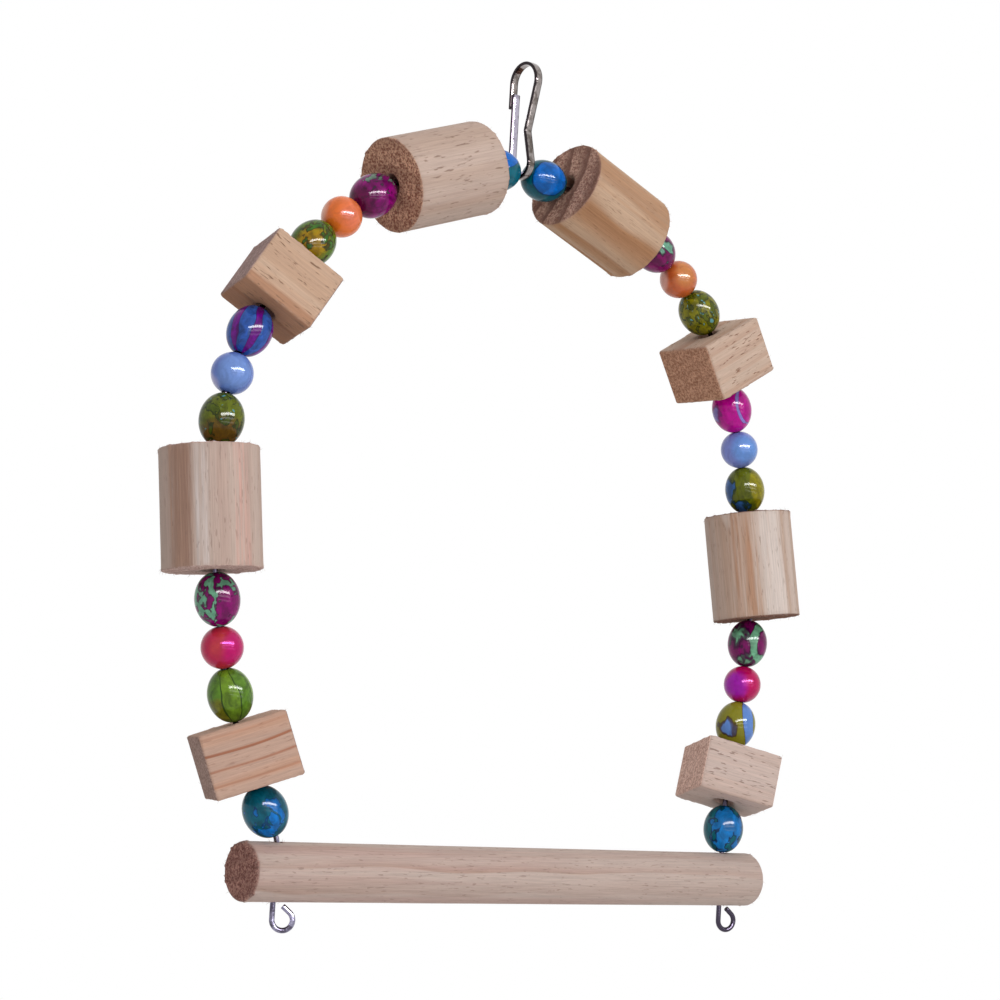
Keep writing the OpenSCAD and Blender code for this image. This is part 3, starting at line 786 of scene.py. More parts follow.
class Workshop:
    """Makes meshes with two geometry node trees: one carries a section along a rail, one frays cut wood."""

    def __init__(self) -> None:
        """Builds the trees."""
        self.loft_tree = self._loft_tree()
        self.fray_tree = self._fray_tree()

    @staticmethod
    def _loft_tree() -> bpy.types.NodeTree:
        """Builds the tree that carries a section along a rail, with a little roughness over the skin.

        The new skin's normals point inwards until Workshop.close turns them, so a move against them stands out. The
        torn wood at a sawn end does that. Nothing moves within the still radius of the axis.

        Returns:
            The tree.
        """
        inputs: dict[str, object] = {
            "Rail": "NodeSocketGeometry", "Section": "NodeSocketObject", "Rough": 0.0, "Ragged": 0.0,
            "Half Length": 1.0, "Ragged Width": 0.001, "Still Radius": -1.0, "Noise Scale": 300.0,
            "Grain Scale": 1.0, "Seed": 0.0,
        }
        b, i, out = new_group("loft", "GeometryNodeTree", inputs, {"Mesh": "NodeSocketGeometry"})
        section = b.node("GeometryNodeObjectInfo", {"Object": i["Section"]}).outputs["Geometry"]
        counts = []
        for geometry in (i["Rail"], section):
            size = b.node("GeometryNodeAttributeDomainSize", {"Geometry": geometry}, component="MESH")
            counts.append(size.outputs["Point Count"])
        feeds = {"Size X": 1.0, "Size Y": 1.0, "Vertices X": counts[0], "Vertices Y": counts[1]}
        grid = b.node("GeometryNodeMeshGrid", feeds).outputs["Mesh"]
        here = b.node("GeometryNodeInputPosition").outputs[0]
        parts = b.node("ShaderNodeSeparateXYZ", [here]).outputs
        index = [b.math("ROUND", b.times(b.plus(parts[axis], 0.5), b.minus(counts[axis], 1.0))) for axis in (0, 1)]

        def read(geometry: object, value: object, kind: str, which: object) -> bpy.types.NodeSocket:
            """Reads a value of one point of a geometry."""
            made = b.node("GeometryNodeSampleIndex", data_type=kind, domain="POINT")
            for label, fed in (("Geometry", geometry), ("Value", value), ("Index", which)):
                b.feed(made.inputs[label], fed)
            return made.outputs[0]

        def read_rail(name: str, kind: str) -> bpy.types.NodeSocket:
            """Reads one of the rail's attributes."""
            value = b.node("GeometryNodeInputNamedAttribute", {"Name": name}, data_type=kind).outputs[0]
            return read(i["Rail"], value, kind, index[0])

        point = read(i["Rail"], here, "FLOAT_VECTOR", index[0])
        side, up = read_rail("side", "FLOAT_VECTOR"), read_rail("up", "FLOAT_VECTOR")
        shape = b.scaled(read(section, here, "FLOAT_VECTOR", index[1]), read_rail("size", "FLOAT"))
        shape = b.node("ShaderNodeSeparateXYZ", [shape]).outputs
        place = b.vector("ADD", point, b.vector("ADD", b.scaled(side, shape[0]), b.scaled(up, shape[1])))
        skin = b.node("GeometryNodeSetPosition", {"Geometry": grid, "Position": place}).outputs[0]
        skin = b.node("GeometryNodeMergeByDistance", {"Geometry": skin, "Distance": 1e-6}).outputs[0]
        across, over, height = parts
        radius = b.math("SQRT", b.plus(b.times(across, across), b.times(over, over)))
        uneven = b.step(radius, i["Still Radius"], b.plus(i["Still Radius"], STILL_FADE))
        rim = b.step(b.minus(i["Half Length"], b.math("ABSOLUTE", height)), 0.0, i["Ragged Width"], 1.0, 0.0)
        stretched = b.stretched(here, i["Grain Scale"])
        lumps = b.minus(b.noise(stretched, i["Noise Scale"], rough=0.55, seed=i["Seed"]), 0.5)
        tufts = b.noise(here, b.times(i["Noise Scale"], TUFT_SCALE), rough=0.6, seed=b.plus(i["Seed"], TUFT_SHIFT))
        torn = b.times(b.step(tufts, *TUFT_EDGE), rim)
        move = b.minus(b.times(lumps, i["Rough"]), b.times(torn, i["Ragged"]))
        offset = b.scaled(b.node("GeometryNodeInputNormal").outputs[0], b.times(move, uneven))
        skin = b.node("GeometryNodeSetPosition", {"Geometry": skin, "Offset": offset}).outputs[0]
        b.feed(out.inputs[0], b.node("GeometryNodeRealizeInstances", {"Geometry": skin}).outputs[0])
        return b.tree

    @staticmethod
    def _fray_tree() -> bpy.types.NodeTree:
        """Builds the tree that stands torn fibres on the cut rims of a wooden piece.

        Returns:
            The tree.
        """
        inputs: dict[str, object] = {
            "Piece": "NodeSocketGeometry", "Density": 200000.0, "Length": 0.0008, "Radius": 0.00005, "Seed": 1,
        }
        b, i, out = new_group("fray", "GeometryNodeTree", inputs, {"Mesh": "NodeSocketGeometry"})
        where = b.node("GeometryNodeInputNamedAttribute", {"Name": "fray"}, data_type="FLOAT").outputs[0]
        feeds = {"Mesh": i["Piece"], "Density": b.times(i["Density"], where), "Seed": i["Seed"]}
        spread = b.node("GeometryNodeDistributePointsOnFaces", feeds).outputs
        feeds = {"Vertices": 5, "Side Segments": 3, "Radius Top": b.times(i["Radius"], 0.25),
                 "Radius Bottom": i["Radius"], "Depth": i["Length"]}
        hair = b.node("GeometryNodeMeshCone", feeds).outputs["Mesh"]
        bend = b.node("ShaderNodeSeparateXYZ", [b.node("GeometryNodeInputPosition").outputs[0]]).outputs
        rise = b.math("POWER", b.math("DIVIDE", bend[2], i["Length"]), 2.0)
        curl = b.node("ShaderNodeCombineXYZ", (b.times(rise, b.times(i["Length"], 0.5)), 0.0, 0.0)).outputs[0]
        hair = b.node("GeometryNodeSetPosition", {"Geometry": hair, "Offset": curl}).outputs[0]

        def drawn(kind: str, socket_type: str, limits: tuple, seed: object) -> bpy.types.NodeSocket:
            """Draws a random value for each fibre."""
            made = b.node("FunctionNodeRandomValue", data_type=kind)
            for label, value in zip(("Min", "Max"), limits):
                b.feed(next(s for s in made.inputs if s.name == label and s.type == socket_type), value)
            b.feed(next(s for s in made.inputs if s.name == "Seed"), seed)
            return next(s for s in made.outputs if s.type == socket_type and s.enabled)

        lean = drawn("FLOAT_VECTOR", "VECTOR", FIBRE_LEAN, i["Seed"])
        feeds = {"Rotation": spread["Rotation"], "Rotate By": lean}
        turned = b.node("FunctionNodeRotateRotation", feeds, rotation_space="LOCAL").outputs[0]
        size = drawn("FLOAT", "VALUE", FIBRE_SIZE, b.plus(i["Seed"], 5.0))
        feeds = {"Points": spread["Points"], "Instance": hair, "Rotation": turned, "Scale": size}
        stood = b.node("GeometryNodeInstanceOnPoints", feeds).outputs[0]
        b.feed(out.inputs[0], b.node("GeometryNodeRealizeInstances", {"Geometry": stood}).outputs[0])
        return b.tree

    @staticmethod
    def run(carrier: bpy.types.Object, tree: bpy.types.NodeTree, values: dict[str, object]) -> bpy.types.Mesh:
        """Runs a tree on an object and returns the plain mesh that it makes.

        Args:
            carrier: the object whose mesh goes in.
            tree: the geometry node tree.
            values: the tree's inputs by name, with _ for each space.

        Returns:
            The new mesh.
        """
        named = {key.replace("_", " ").title(): value for key, value in values.items()}
        modifier = carrier.modifiers.new("tree", "NODES")
        modifier.node_group = tree
        for item in tree.interface.items_tree:
            if item.item_type == "SOCKET" and item.in_out == "INPUT" and item.name in named:
                modifier[item.identifier] = named[item.name]
        bpy.context.view_layer.update()
        depsgraph = bpy.context.evaluated_depsgraph_get()
        made = bpy.data.meshes.new_from_object(carrier.evaluated_get(depsgraph), depsgraph=depsgraph)
        carrier.modifiers.remove(modifier)
        return made

    @staticmethod
    def line_object(name: str, points: list[Vector], values: dict[str, list] | None = None) -> bpy.types.Object:
        """Makes a string of points for a tree to read.

        Args:
            name: the object's name.
            points: the points in order.
            values: float or vector attributes, by name.

        Returns:
            The object.
        """
        mesh = bpy.data.meshes.new(name)
        mesh.from_pydata([tuple(p) for p in points], [(k, k + 1) for k in range(len(points) - 1)], [])
        for key, column in (values or {}).items():
            flat = isinstance(column[0], (int, float))
            layer = mesh.attributes.new(key, "FLOAT" if flat else "FLOAT_VECTOR", "POINT")
            layer.data.foreach_set("value" if flat else "vector", np.array(column, float).ravel())
        return linked(name, mesh)

    def loft(self, rail: Rail, section: list[tuple[float, float]], **values: object) -> bpy.types.Mesh:
        """Carries a section along a rail.

        Args:
            rail: the places.
            section: points across the piece, as shares of the rail's side and up.
            values: the tree's other inputs, with _ for each space.

        Returns:
            The mesh, with its faces outwards.
        """
        carrier = self.line_object("rail", rail.points, {"side": rail.sides, "up": rail.ups, "size": rail.sizes})
        shape = self.line_object("section", [Vector((x, y, 0)) for x, y in section])
        made = self.run(carrier, self.loft_tree, {"section": shape, **values})
        for scratch in (carrier, shape):
            mesh = scratch.data
            bpy.data.objects.remove(scratch)
            bpy.data.meshes.remove(mesh)
        self.close(made)
        return made

    @staticmethod
    def close(mesh: bpy.types.Mesh) -> None:
        """Turns a closed mesh's faces outwards and shades it smooth."""
        work = bmesh.new()
        work.from_mesh(mesh)
        bmesh.ops.remove_doubles(work, verts=work.verts, dist=1e-7)
        bmesh.ops.recalc_face_normals(work, faces=work.faces)
        for face in work.faces:
            face.smooth = True
        work.to_mesh(mesh)
        work.free()

    def fibres(self, piece: bpy.types.Mesh, **values: object) -> bpy.types.Mesh:
        """Stands torn fibres on a piece where its fray mask says so, and returns them."""
        carrier = linked("carrier", piece)
        made = self.run(carrier, self.fray_tree, values)
        bpy.data.objects.remove(carrier)
        return made

    @staticmethod
    def points_of(mesh: bpy.types.Mesh) -> np.ndarray:
        """Returns a mesh's points as an array."""
        flat = np.zeros(len(mesh.vertices) * 3)
        mesh.vertices.foreach_get("co", flat)
        return flat.reshape(-1, 3)

    @staticmethod
    def write(mesh: bpy.types.Mesh, **columns: np.ndarray | float) -> None:
        """Stores attributes on a mesh's points.

        Args:
            mesh: the mesh.
            columns: one number or one vector a point, or one number for all, by the attribute's name.
        """
        for name, column in columns.items():
            values = np.full(len(mesh.vertices), column) if isinstance(column, float) else column
            flat = values.ndim == 1
            if name in mesh.attributes:
                mesh.attributes.remove(mesh.attributes[name])
            layer = mesh.attributes.new(name, "FLOAT" if flat else "FLOAT_VECTOR", "POINT")
            layer.data.foreach_set("value" if flat else "vector", values.astype(np.float32).ravel())

    @staticmethod
    def show(name: str, mesh: bpy.types.Mesh, material: bpy.types.Material, body: str, slot: str) -> bpy.types.Object:
        """Puts a finished mesh into the scene as a piece.

        Args:
            name: the piece's name.
            mesh: its mesh, in place.
            material: its finish.
            body: the body that it rides on.
            slot: the record's material slot; not used.

        Returns:
            The piece.
        """
        mesh.materials.clear()
        mesh.materials.append(material)
        made = linked(name, mesh)
        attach(made, body)
        return made


@dataclass
class Strung:
    """A piece strung on the wire, at its node's own joint."""

    arm: Arm
    count: int
    kind: Kind
    number: int
    spin: float = 0.0
    centre: Vector = field(default_factory=Vector)
    turn: Matrix = field(default_factory=lambda: Matrix.Identity(3))

    @property
    def node(self) -> str:
        """The CAD node's name, which is its body's name too."""
        return "%s_%s_%d" % (self.arm.value, self.kind.value, self.number)

    def settle(self, joints: list[dict]) -> None:
        """Takes the place and the bore's direction from the piece's own joint.

        Args:
            joints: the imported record's joints.
        """
        joint = next(j for j in joints if j["child"] == self.node)
        axis = Vector(joint["axis"]).normalized()
        self.centre = Vector(joint["pos_m"])
        lean = Matrix.Rotation(math.atan2(axis.x, axis.z), 3, "Y")
        nod = Matrix.Rotation(-math.asin(max(-1.0, min(1.0, axis.y))), 3, "X")
        self.turn = lean @ nod @ Matrix.Rotation(math.radians(self.spin), 3, "Z")

    def place(self, mesh: bpy.types.Mesh) -> None:
        """Moves a mesh from the piece's own axes to its place on the arch."""
        mesh.transform(Matrix.Translation(self.centre) @ self.turn.to_4x4())


def ring(radius: float, turns: int) -> list[Vector]:
    """Returns the directions round a circle times its radius, with the first again at the end."""
    angles = [2 * math.pi * k / turns for k in range(turns + 1)]
    return [Vector((radius * math.cos(t), radius * math.sin(t), 0)) for t in angles]


def quarter(steps: int, first: int = 0) -> list[float]:
    """Returns the angles of a quarter turn in even steps, from the given one on."""
    return [math.pi / (2 * steps) * k for k in range(first, steps + 1)]


def fade(distance: np.ndarray, width: float, start: float = 0.0) -> np.ndarray:
    """Returns what falls from 1 to 0 over a width, from a start."""
    return np.clip(1 - (distance - start) / width, 0, 1)


@dataclass
class Bead(Strung):
    """A moulded acrylic bead with flat mouths and a rounded bore."""

    long: float = 15.4 * MM
    wide: float = 12.8 * MM
    mouth: float = 3.2 * MM
    bore: float = 2.4 * MM
    lip: float = 0.3 * MM
    turns: int = 96
    steps: int = 26
    rough: float = 0.06 * MM
    lump_scale: float = 90.0

    def section(self) -> list[tuple[float, float]]:
        """Draws the bead's wall, from the bore round the outside and back.

        Returns:
            Points as (distance from the axis, height).
        """
        a, b, r, m = self.wide / 2, self.long / 2, self.bore / 2, self.lip
        last = math.acos(self.mouth / 2 / a)
        half = b * math.sin(last)
        upper = [(r, (half - m) * k / 5) for k in range(5)]
        upper += [(r + m * (1 - math.cos(t)), half - m * (1 - math.sin(t))) for t in quarter(4)]
        round_it = [last * (1 - k / self.steps) for k in range(self.steps + 1)]
        upper += [(a * math.cos(t), b * math.sin(t)) for t in round_it]
        lower = [(x, -z) for x, z in reversed(upper[1:-1])]
        return upper + lower + [upper[0]]

    def build(self, shop: Workshop, groups: ShaderGroups, finish: Marble | Pearl, slot: str) -> None:
        """Makes the bead.

        Args:
            shop: makes the mesh.
            groups: the shared effects.
            finish: its colours.
            slot: the record's material slot.
        """
        rail = Rail()
        rail.turn_round(Vector((0, 0, 0)), self.turns)
        mesh = shop.loft(rail, self.section(), rough=self.rough, noise_scale=self.lump_scale, seed=float(self.count))
        shop.write(mesh, local=shop.points_of(mesh) / MM)
        self.place(mesh)
        material = finish.material(self.node, groups, self.turn)
        piece = shop.show(self.node + "_moulded", mesh, material, self.node, slot)
        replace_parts(piece, self.node)


@dataclass
class BoredWood(Strung):
    """A wooden piece with a bore.

    Rough is how uneven it is all over, and ragged is how far the torn wood stands off its ends. Still is how wide the
    calm ring round the bore's mouth is. Fibres are counted to the square metre of torn rim.
    """

    long: float = 34 * MM
    bore: float = 6.4 * MM
    lip: float = 0.65 * MM
    edge: float = 0.45 * MM
    turns: int = 192
    across: int = 12
    along: int = 28
    rough: float = 0.22 * MM
    ragged: float = 0.35 * MM
    ragged_width: float = 1.3 * MM
    still: float = 1.2 * MM
    lump_scale: float = 260.0
    grain_scale: float = 0.15
    rim: float = 0.9 * MM
    sawn: float = 0.1 * MM
    sawn_fade: float = 0.25 * MM
    fibres: float = 900000.0
    fibre_length: float = 0.9 * MM
    fibre_radius: float = 0.045 * MM

    def outline(self) -> list[Vector]:
        """Returns the piece's outline across its bore, point for point with the bore's."""
        raise NotImplementedError

    def section(self) -> list[tuple[float, float]]:
        """Draws the wall from the bore, over one end, down the side, and back over the other end.

        Returns:
            Points as (share of the way from the bore to the outline, height).
        """
        h, e = self.long / 2, self.edge
        reach = min(v.length for v in self.outline()) - self.bore / 2
        share = e / reach
        lip = self.lip
        inner = [(0.0, z) for z in np.linspace(-h + lip, h - lip, 8)]
        inner += [(lip / reach * (1 - math.cos(t)), h - lip * (1 - math.sin(t))) for t in quarter(4, 1)]
        top = [(s, h) for s in np.linspace(lip / reach, 1 - share, self.across)[1:]]
        fillet = [(1 - share * (1 - math.sin(t)), h - e * (1 - math.cos(t))) for t in quarter(4, 1)]
        side = [(1.0, z) for z in np.linspace(h - e, 0, self.along // 2)[1:]]
        upper = inner[4:] + top + fillet + side
        lower = [(x, -z) for x, z in reversed(upper[:-1])]
        return upper + lower + [upper[0]]

    def grain_turn(self) -> Matrix:
        """Returns the turn from the wood's grain to the swing's axes."""
        return self.turn

    def masks(self, mesh: bpy.types.Mesh, shop: Workshop) -> None:
        """Stores the piece's own places and the masks that its finish reads."""
        raise NotImplementedError

    def skin(self, shop: Workshop) -> bpy.types.Mesh:
        """Makes the piece's mesh on its own axes.

        Args:
            shop: makes the mesh.

        Returns:
            The mesh.
        """
        rail = Rail()
        for start, end in zip(ring(self.bore / 2, self.turns), self.outline()):
            rail.add(start, end - start, Vector((0, 0, 1)))
        seed = self.count + (50.0 if self.arm is Arm.RIGHT else 0.0)
        return shop.loft(rail, self.section(), rough=self.rough, ragged=self.ragged, half_length=self.long / 2,
                         ragged_width=self.ragged_width, still_radius=self.bore / 2 + self.still,
                         noise_scale=self.lump_scale, grain_scale=self.grain_scale, seed=seed)

    def build(self, shop: Workshop, groups: ShaderGroups, finish: Timber) -> None:
        """Makes the piece and its fibres, puts them in their place and dresses them.

        Args:
            shop: makes the meshes.
            groups: the shared effects.
            finish: the wood.
        """
        mesh = self.skin(shop)
        self.masks(mesh, shop)
        torn = shop.fibres(mesh, density=self.fibres, length=self.fibre_length, radius=self.fibre_radius,
                           seed=self.count + 3)
        points = shop.points_of(torn) / MM
        shop.write(torn, grain=points, local=points, end=0.15, rim=0.0)
        material = finish.material(self.node, groups, self.grain_turn())
        for part in (mesh, torn):
            self.place(part)
        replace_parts(shop.show(self.node + "_sawn", mesh, material, self.node, "pine"), self.node)
        shop.show(self.node + "_fibres", torn, material, self.node, "pine")


@dataclass
class Cylinder(BoredWood):
    """A length of dowel with a bore, grain along the bore."""

    wide: float = 28.1 * MM

    def outline(self) -> list[Vector]:
        """Returns a circle, point for point with the bore's."""
        return ring(self.wide / 2, self.turns)

    def masks(self, mesh: bpy.types.Mesh, shop: Workshop) -> None:
        """Stores the places and masks: the ends are sawn across, and the rims are torn."""
        p = shop.points_of(mesh)
        r = np.hypot(p[:, 0], p[:, 1])
        near_end = self.long / 2 - np.abs(p[:, 2])
        end = fade(near_end, self.sawn_fade, self.sawn)
        end = np.where(r < self.bore / 2 + 0.3 * MM, np.clip(end, 0.6, 1), end)
        rim = fade(near_end, self.rim) * fade(self.wide / 2 - r, self.rim)
        shop.write(mesh, local=p / MM, grain=p / MM, end=end, rim=rim, fray=np.where(rim > 0.35, rim, 0))


@dataclass
class Block(BoredWood):
    """A sawn block with a bore, grain across the bore along its longer side."""

    long: float = 18.5 * MM
    wide: float = 25.6 * MM
    thick: float = 22.4 * MM
    corner: float = 0.9 * MM
    edge: float = 0.7 * MM
    rough: float = 0.2 * MM
    ragged: float = 0.2 * MM
    rim: float = 0.8 * MM
    sawn: float = 0.12 * MM
    fibres: float = 700000.0
    fibre_length: float = 0.8 * MM

    def outline(self) -> list[Vector]:
        """Returns a rectangle with round corners, point for point with the bore's."""
        a, b, c = self.wide / 2, self.thick / 2, self.corner
        line: list[Vector] = [Vector((a, 0, 0))]
        for x, y, start in ((a - c, b - c, 0), (-a + c, b - c, 90), (-a + c, -b + c, 180), (a - c, -b + c, 270)):
            for t in (math.radians(start + 15 * k) for k in range(7)):
                line.append(Vector((x + c * math.cos(t), y + c * math.sin(t), 0)))
        line.append(Vector((a, 0, 0)))
        lengths = [0.0]
        for start, end in zip(line, line[1:]):
            run = max((end - start).length, 1e-9)
            lengths.append(lengths[-1] + run * (4 if run < c else 1))
        made, at = [], 0
        for k in range(self.turns + 1):
            want = lengths[-1] * k / self.turns
            while at < len(line) - 2 and lengths[at + 1] < want:
                at += 1
            share = (want - lengths[at]) / (lengths[at + 1] - lengths[at])
            made.append(line[at].lerp(line[at + 1], min(1.0, max(0.0, share))))
        return made

    def grain_turn(self) -> Matrix:
        """Returns the turn from the wood's grain, which runs along the block's own X, to the swing's axes."""
        return self.turn @ Matrix(((0, 0, 1), (1, 0, 0), (0, 1, 0)))

    def masks(self, mesh: bpy.types.Mesh, shop: Workshop) -> None:
        """Stores the places and masks: the two short sides are sawn across the grain."""
        p = shop.points_of(mesh)
        r = np.hypot(p[:, 0], p[:, 1])
        gap = np.array([self.wide, self.thick, self.long]) / 2 - np.abs(p)
        end = np.where(r < self.bore / 2 + 0.25 * MM, 0.5, fade(gap[:, 0], self.sawn_fade, self.sawn))
        rim = fade(np.sort(gap, axis=1)[:, 1], self.rim)
        fray = np.where((rim > 0.4) & (fade(gap[:, 0], self.rim) > 0.3), rim, 0)
        grain = np.stack([p[:, 1], p[:, 2], p[:, 0]], -1) / MM
        shop.write(mesh, local=p / MM, grain=grain, end=end, rim=rim, fray=fray)


@dataclass
class Perch:
    """The dowel across the arch's feet, with a cross hole near each end."""

    left: float = -86.4513 * MM
    right: float = 112.189 * MM
    height: float = -240.691 * MM
    wide: float = 16.8 * MM
    hole: float = 3.4 * MM
    legs: tuple[float, float] = (-74.9513 * MM, 100.689 * MM)
    edge: float = 0.8 * MM
    turns: int = 160
    along: int = 150
    cap: tuple[float, ...] = (0.0, 0.06, 0.14, 0.24, 0.34, 0.44, 0.54, 0.64, 0.74, 0.83)
    rough: float = 0.18 * MM
    ragged: float = 0.9 * MM
    ragged_width: float = 1.6 * MM
    lump_scale: float = 230.0
    grain_scale: float = 0.08
    seed: float = 21.0
    hole_rough: float = 0.1 * MM
    hole_lump_scale: float = 900.0
    hole_turns: int = 48
    fibres: float = 1200000.0
    fibre_length: float = 0.9 * MM
    fibre_radius: float = 0.05 * MM

    def body(self, shop: Workshop) -> bpy.types.Mesh:
        """Makes the dowel along its own axis, then bores it.

        Args:
            shop: makes the meshes.

        Returns:
            The mesh, in place.
        """
        r, h, e = self.wide / 2, (self.right - self.left) / 2, self.edge
        half = [(r * s, h) for s in self.cap]
        half += [(r - e * (1 - math.sin(t)), h - e * (1 - math.cos(t))) for t in quarter(6)]
        half += [(r, z) for z in np.linspace(h - e, 0, self.along // 2)[1:]]
        section = half + [(x, -z) for x, z in reversed(half[:-1])]
        rail = Rail()
        rail.turn_round(Vector((0, 0, 0)), self.turns)
        mesh = shop.loft(rail, section, rough=self.rough, ragged=self.ragged, half_length=h,
                         ragged_width=self.ragged_width, noise_scale=self.lump_scale, grain_scale=self.grain_scale,
                         seed=self.seed)
        middle = Matrix.Translation(((self.left + self.right) / 2, 0, self.height))
        mesh.transform(middle @ Matrix.Rotation(math.pi / 2, 4, "Y"))
        dowel = linked("dowel", mesh)
        drills = []
        for x in self.legs:
            drill = Rail()
            drill.turn_round(Vector((x, 0, self.height)), self.hole_turns)
            q, reach = self.hole / 2, self.wide * 0.7
            wall = [(0.0, reach)] + [(q, z) for z in np.linspace(reach, -reach, 24)] + [(0.0, -reach)]
            bit = shop.loft(drill, wall, rough=self.hole_rough, noise_scale=self.hole_lump_scale, seed=4.0)
            drills.append(linked("drill", bit))
            cut = dowel.modifiers.new("bore", "BOOLEAN")
            cut.object, cut.operation, cut.solver = drills[-1], "DIFFERENCE", "EXACT"
        depsgraph = bpy.context.evaluated_depsgraph_get()
        made = bpy.data.meshes.new_from_object(dowel.evaluated_get(depsgraph), depsgraph=depsgraph)
        for scratch in (dowel, *drills):
            bpy.data.objects.remove(scratch)
        made.set_sharp_from_angle(angle=math.radians(50))
        return made

    def build(self, shop: Workshop, groups: ShaderGroups, finish: Timber) -> None:
        """Makes the perch.

        Args:
            shop: makes the meshes.
            groups: the shared effects.
            finish: the wood.
        """
        mesh = self.body(shop)
        p = shop.points_of(mesh)
        r = np.hypot(p[:, 1], p[:, 2] - self.height)
        gap = np.minimum(p[:, 0] - self.left, self.right - p[:, 0])
        mouth = np.min([np.hypot(p[:, 0] - x, p[:, 1]) for x in self.legs], axis=0)
        bored = fade(mouth - self.hole / 2, 0.3 * MM, 0.05 * MM)
        end = np.maximum(fade(gap, 0.5 * MM, 0.15 * MM), bored * 0.8)
        rim = fade(gap, 1.4 * MM) * fade(self.wide / 2 - r, 1.2 * MM)
        fray = np.where(rim > 0.5, rim * 0.5, 0) + np.where(bored > 0.1, 2.2 * fade(self.wide / 2 - r, 0.5 * MM), 0)
        own = self.own_places(p)
        shop.write(mesh, local=own, grain=own, end=end, rim=rim, fray=fray)
        torn = shop.fibres(mesh, density=self.fibres, length=self.fibre_length, radius=self.fibre_radius, seed=12)
        own = self.own_places(shop.points_of(torn))
        shop.write(torn, grain=own, local=own, end=0.1, rim=0.0)
        material = finish.material("perch", groups, Matrix.Identity(3))
        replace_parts(shop.show("perch_dowel", mesh, material, "swing", "dowel"), "perch")
        shop.show("perch_fibres", torn, material, "swing", "dowel")

    def own_places(self, points: np.ndarray) -> np.ndarray:
        """Returns points of the perch on its own axes, with the grain along Z, in millimetres."""
        return np.stack([points[:, 1], points[:, 2] - self.height, points[:, 0]], -1) / MM


@dataclass
class ArchWire:
    """The bent wire: an arch of plain arcs, a leg through each end of the perch, and an open eye under it.

    A knot is where two arcs meet: how far out, how high, and the slope there in degrees.
    """

    wire: float = 1.6 * MM
    depth: float = 28.5 * MM
    eye_r: float = 2.9 * MM
    eye_turn: float = 230.0
    tail: float = 2.6 * MM
    eye_height: float = -253.896 * MM
    eye_angles: tuple[float, float] = (36.0, 191.0)
    turns: int = 24
    caps: Caps = ((0.0, 0.0), (0.0, 0.6), (0.0, 0.9), (0.1, 1.0))
    knots: tuple[tuple[Triple, ...], ...] = (
        ((1.7, -28.5, 0), (61.8089, -49.1971, 38), (92.2242, -83.5755, 59), (103.827, -124.041, 89),
         (96.34, -185.022, 105), (75.6352, -230.454, 124), (74.9513, -232.691, 90)),
        ((1.7, -28.5, 0), (63.5678, -46.8261, 33), (92.5471, -81.9807, 68), (104.819, -122.12, 78),
         (105.356, -183.701, 101), (100.689, -232.171, 90)),
    )

    def arm_line(self, arm: int) -> list[Vector]:
        """Traces the wire's middle from the hook to the end of one eye.

        Args:
            arm: 0 for the left arm, 1 for the right one.

        Returns:
            Points in order.
        """
        side = (-1, 1)[arm]
        line = [Vector((0, 0, -self.depth))]
        for (x0, z0, a), (x1, z1, b) in zip(self.knots[arm], self.knots[arm][1:]):
            steps = max(6, int(math.hypot(x1 - x0, z1 - z0) / 1.5))
            chord = math.hypot(x1 - x0, z1 - z0)
            half = math.radians(b - a) / 2
            run = chord if abs(half) < 1e-4 else chord * half / math.sin(half)
            for k in range(steps):
                s = run * k / steps
                turn = math.radians(b - a) * k / steps
                reach = s if abs(turn) < 1e-6 else s * math.sin(turn / 2) / (turn / 2)
                middle = math.radians(a) + turn / 2
                line.append(Vector((side * (x0 + reach * math.cos(middle)), 0, z0 - reach * math.sin(middle))) * MM)
        leg_x, leg_top = side * self.knots[arm][-1][0] * MM, self.knots[arm][-1][1] * MM
        for k in range(13):
            line.append(Vector((leg_x, 0, leg_top + (self.eye_height - leg_top) * k / 12)))
        angle = math.radians(self.eye_angles[arm])
        inward = Vector((-side * math.cos(angle), side * math.sin(angle), 0))
        centre = Vector((leg_x, 0, self.eye_height)) + self.eye_r * inward
        for k in range(1, 33):
            t = math.radians(self.eye_turn * k / 32)
            line.append(centre + self.eye_r * (-math.cos(t) * inward - math.sin(t) * Vector((0, 0, 1))))
        t = math.radians(self.eye_turn)
        way = math.sin(t) * inward - math.cos(t) * Vector((0, 0, 1))
        line += [line[-1] + way * self.tail * k / 5 for k in range(1, 6)]
        return line

    def build(self, shop: Workshop, groups: ShaderGroups, finish: Plated) -> None:
        """Makes the wire as one rod.

        Args:
            shop: makes the mesh.
            groups: the shared effects.
            finish: the metal.
        """
        line = list(reversed(self.arm_line(0))) + self.arm_line(1)[1:]
        side = Vector((0, 1, 0))
        sides, ups = [], []
        for k in range(len(line)):
            ahead = heading(line, k)
            side = (side - ahead * side.dot(ahead)).normalized()
            sides.append(side)
            ups.append(ahead.cross(side))
        rail = Rail()
        rail.follow(line, sides, ups, self.caps, self.wire / 2)
        mesh = shop.loft(rail, [(v.x, v.y) for v in ring(self.wire / 2, self.turns)])
        shop.write(mesh, local=shop.points_of(mesh) / MM)
        piece = shop.show("arch_wire_drawn", mesh, finish.material("wire", groups), "swing", "bright_wire")
        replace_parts(piece, "arch_wire")


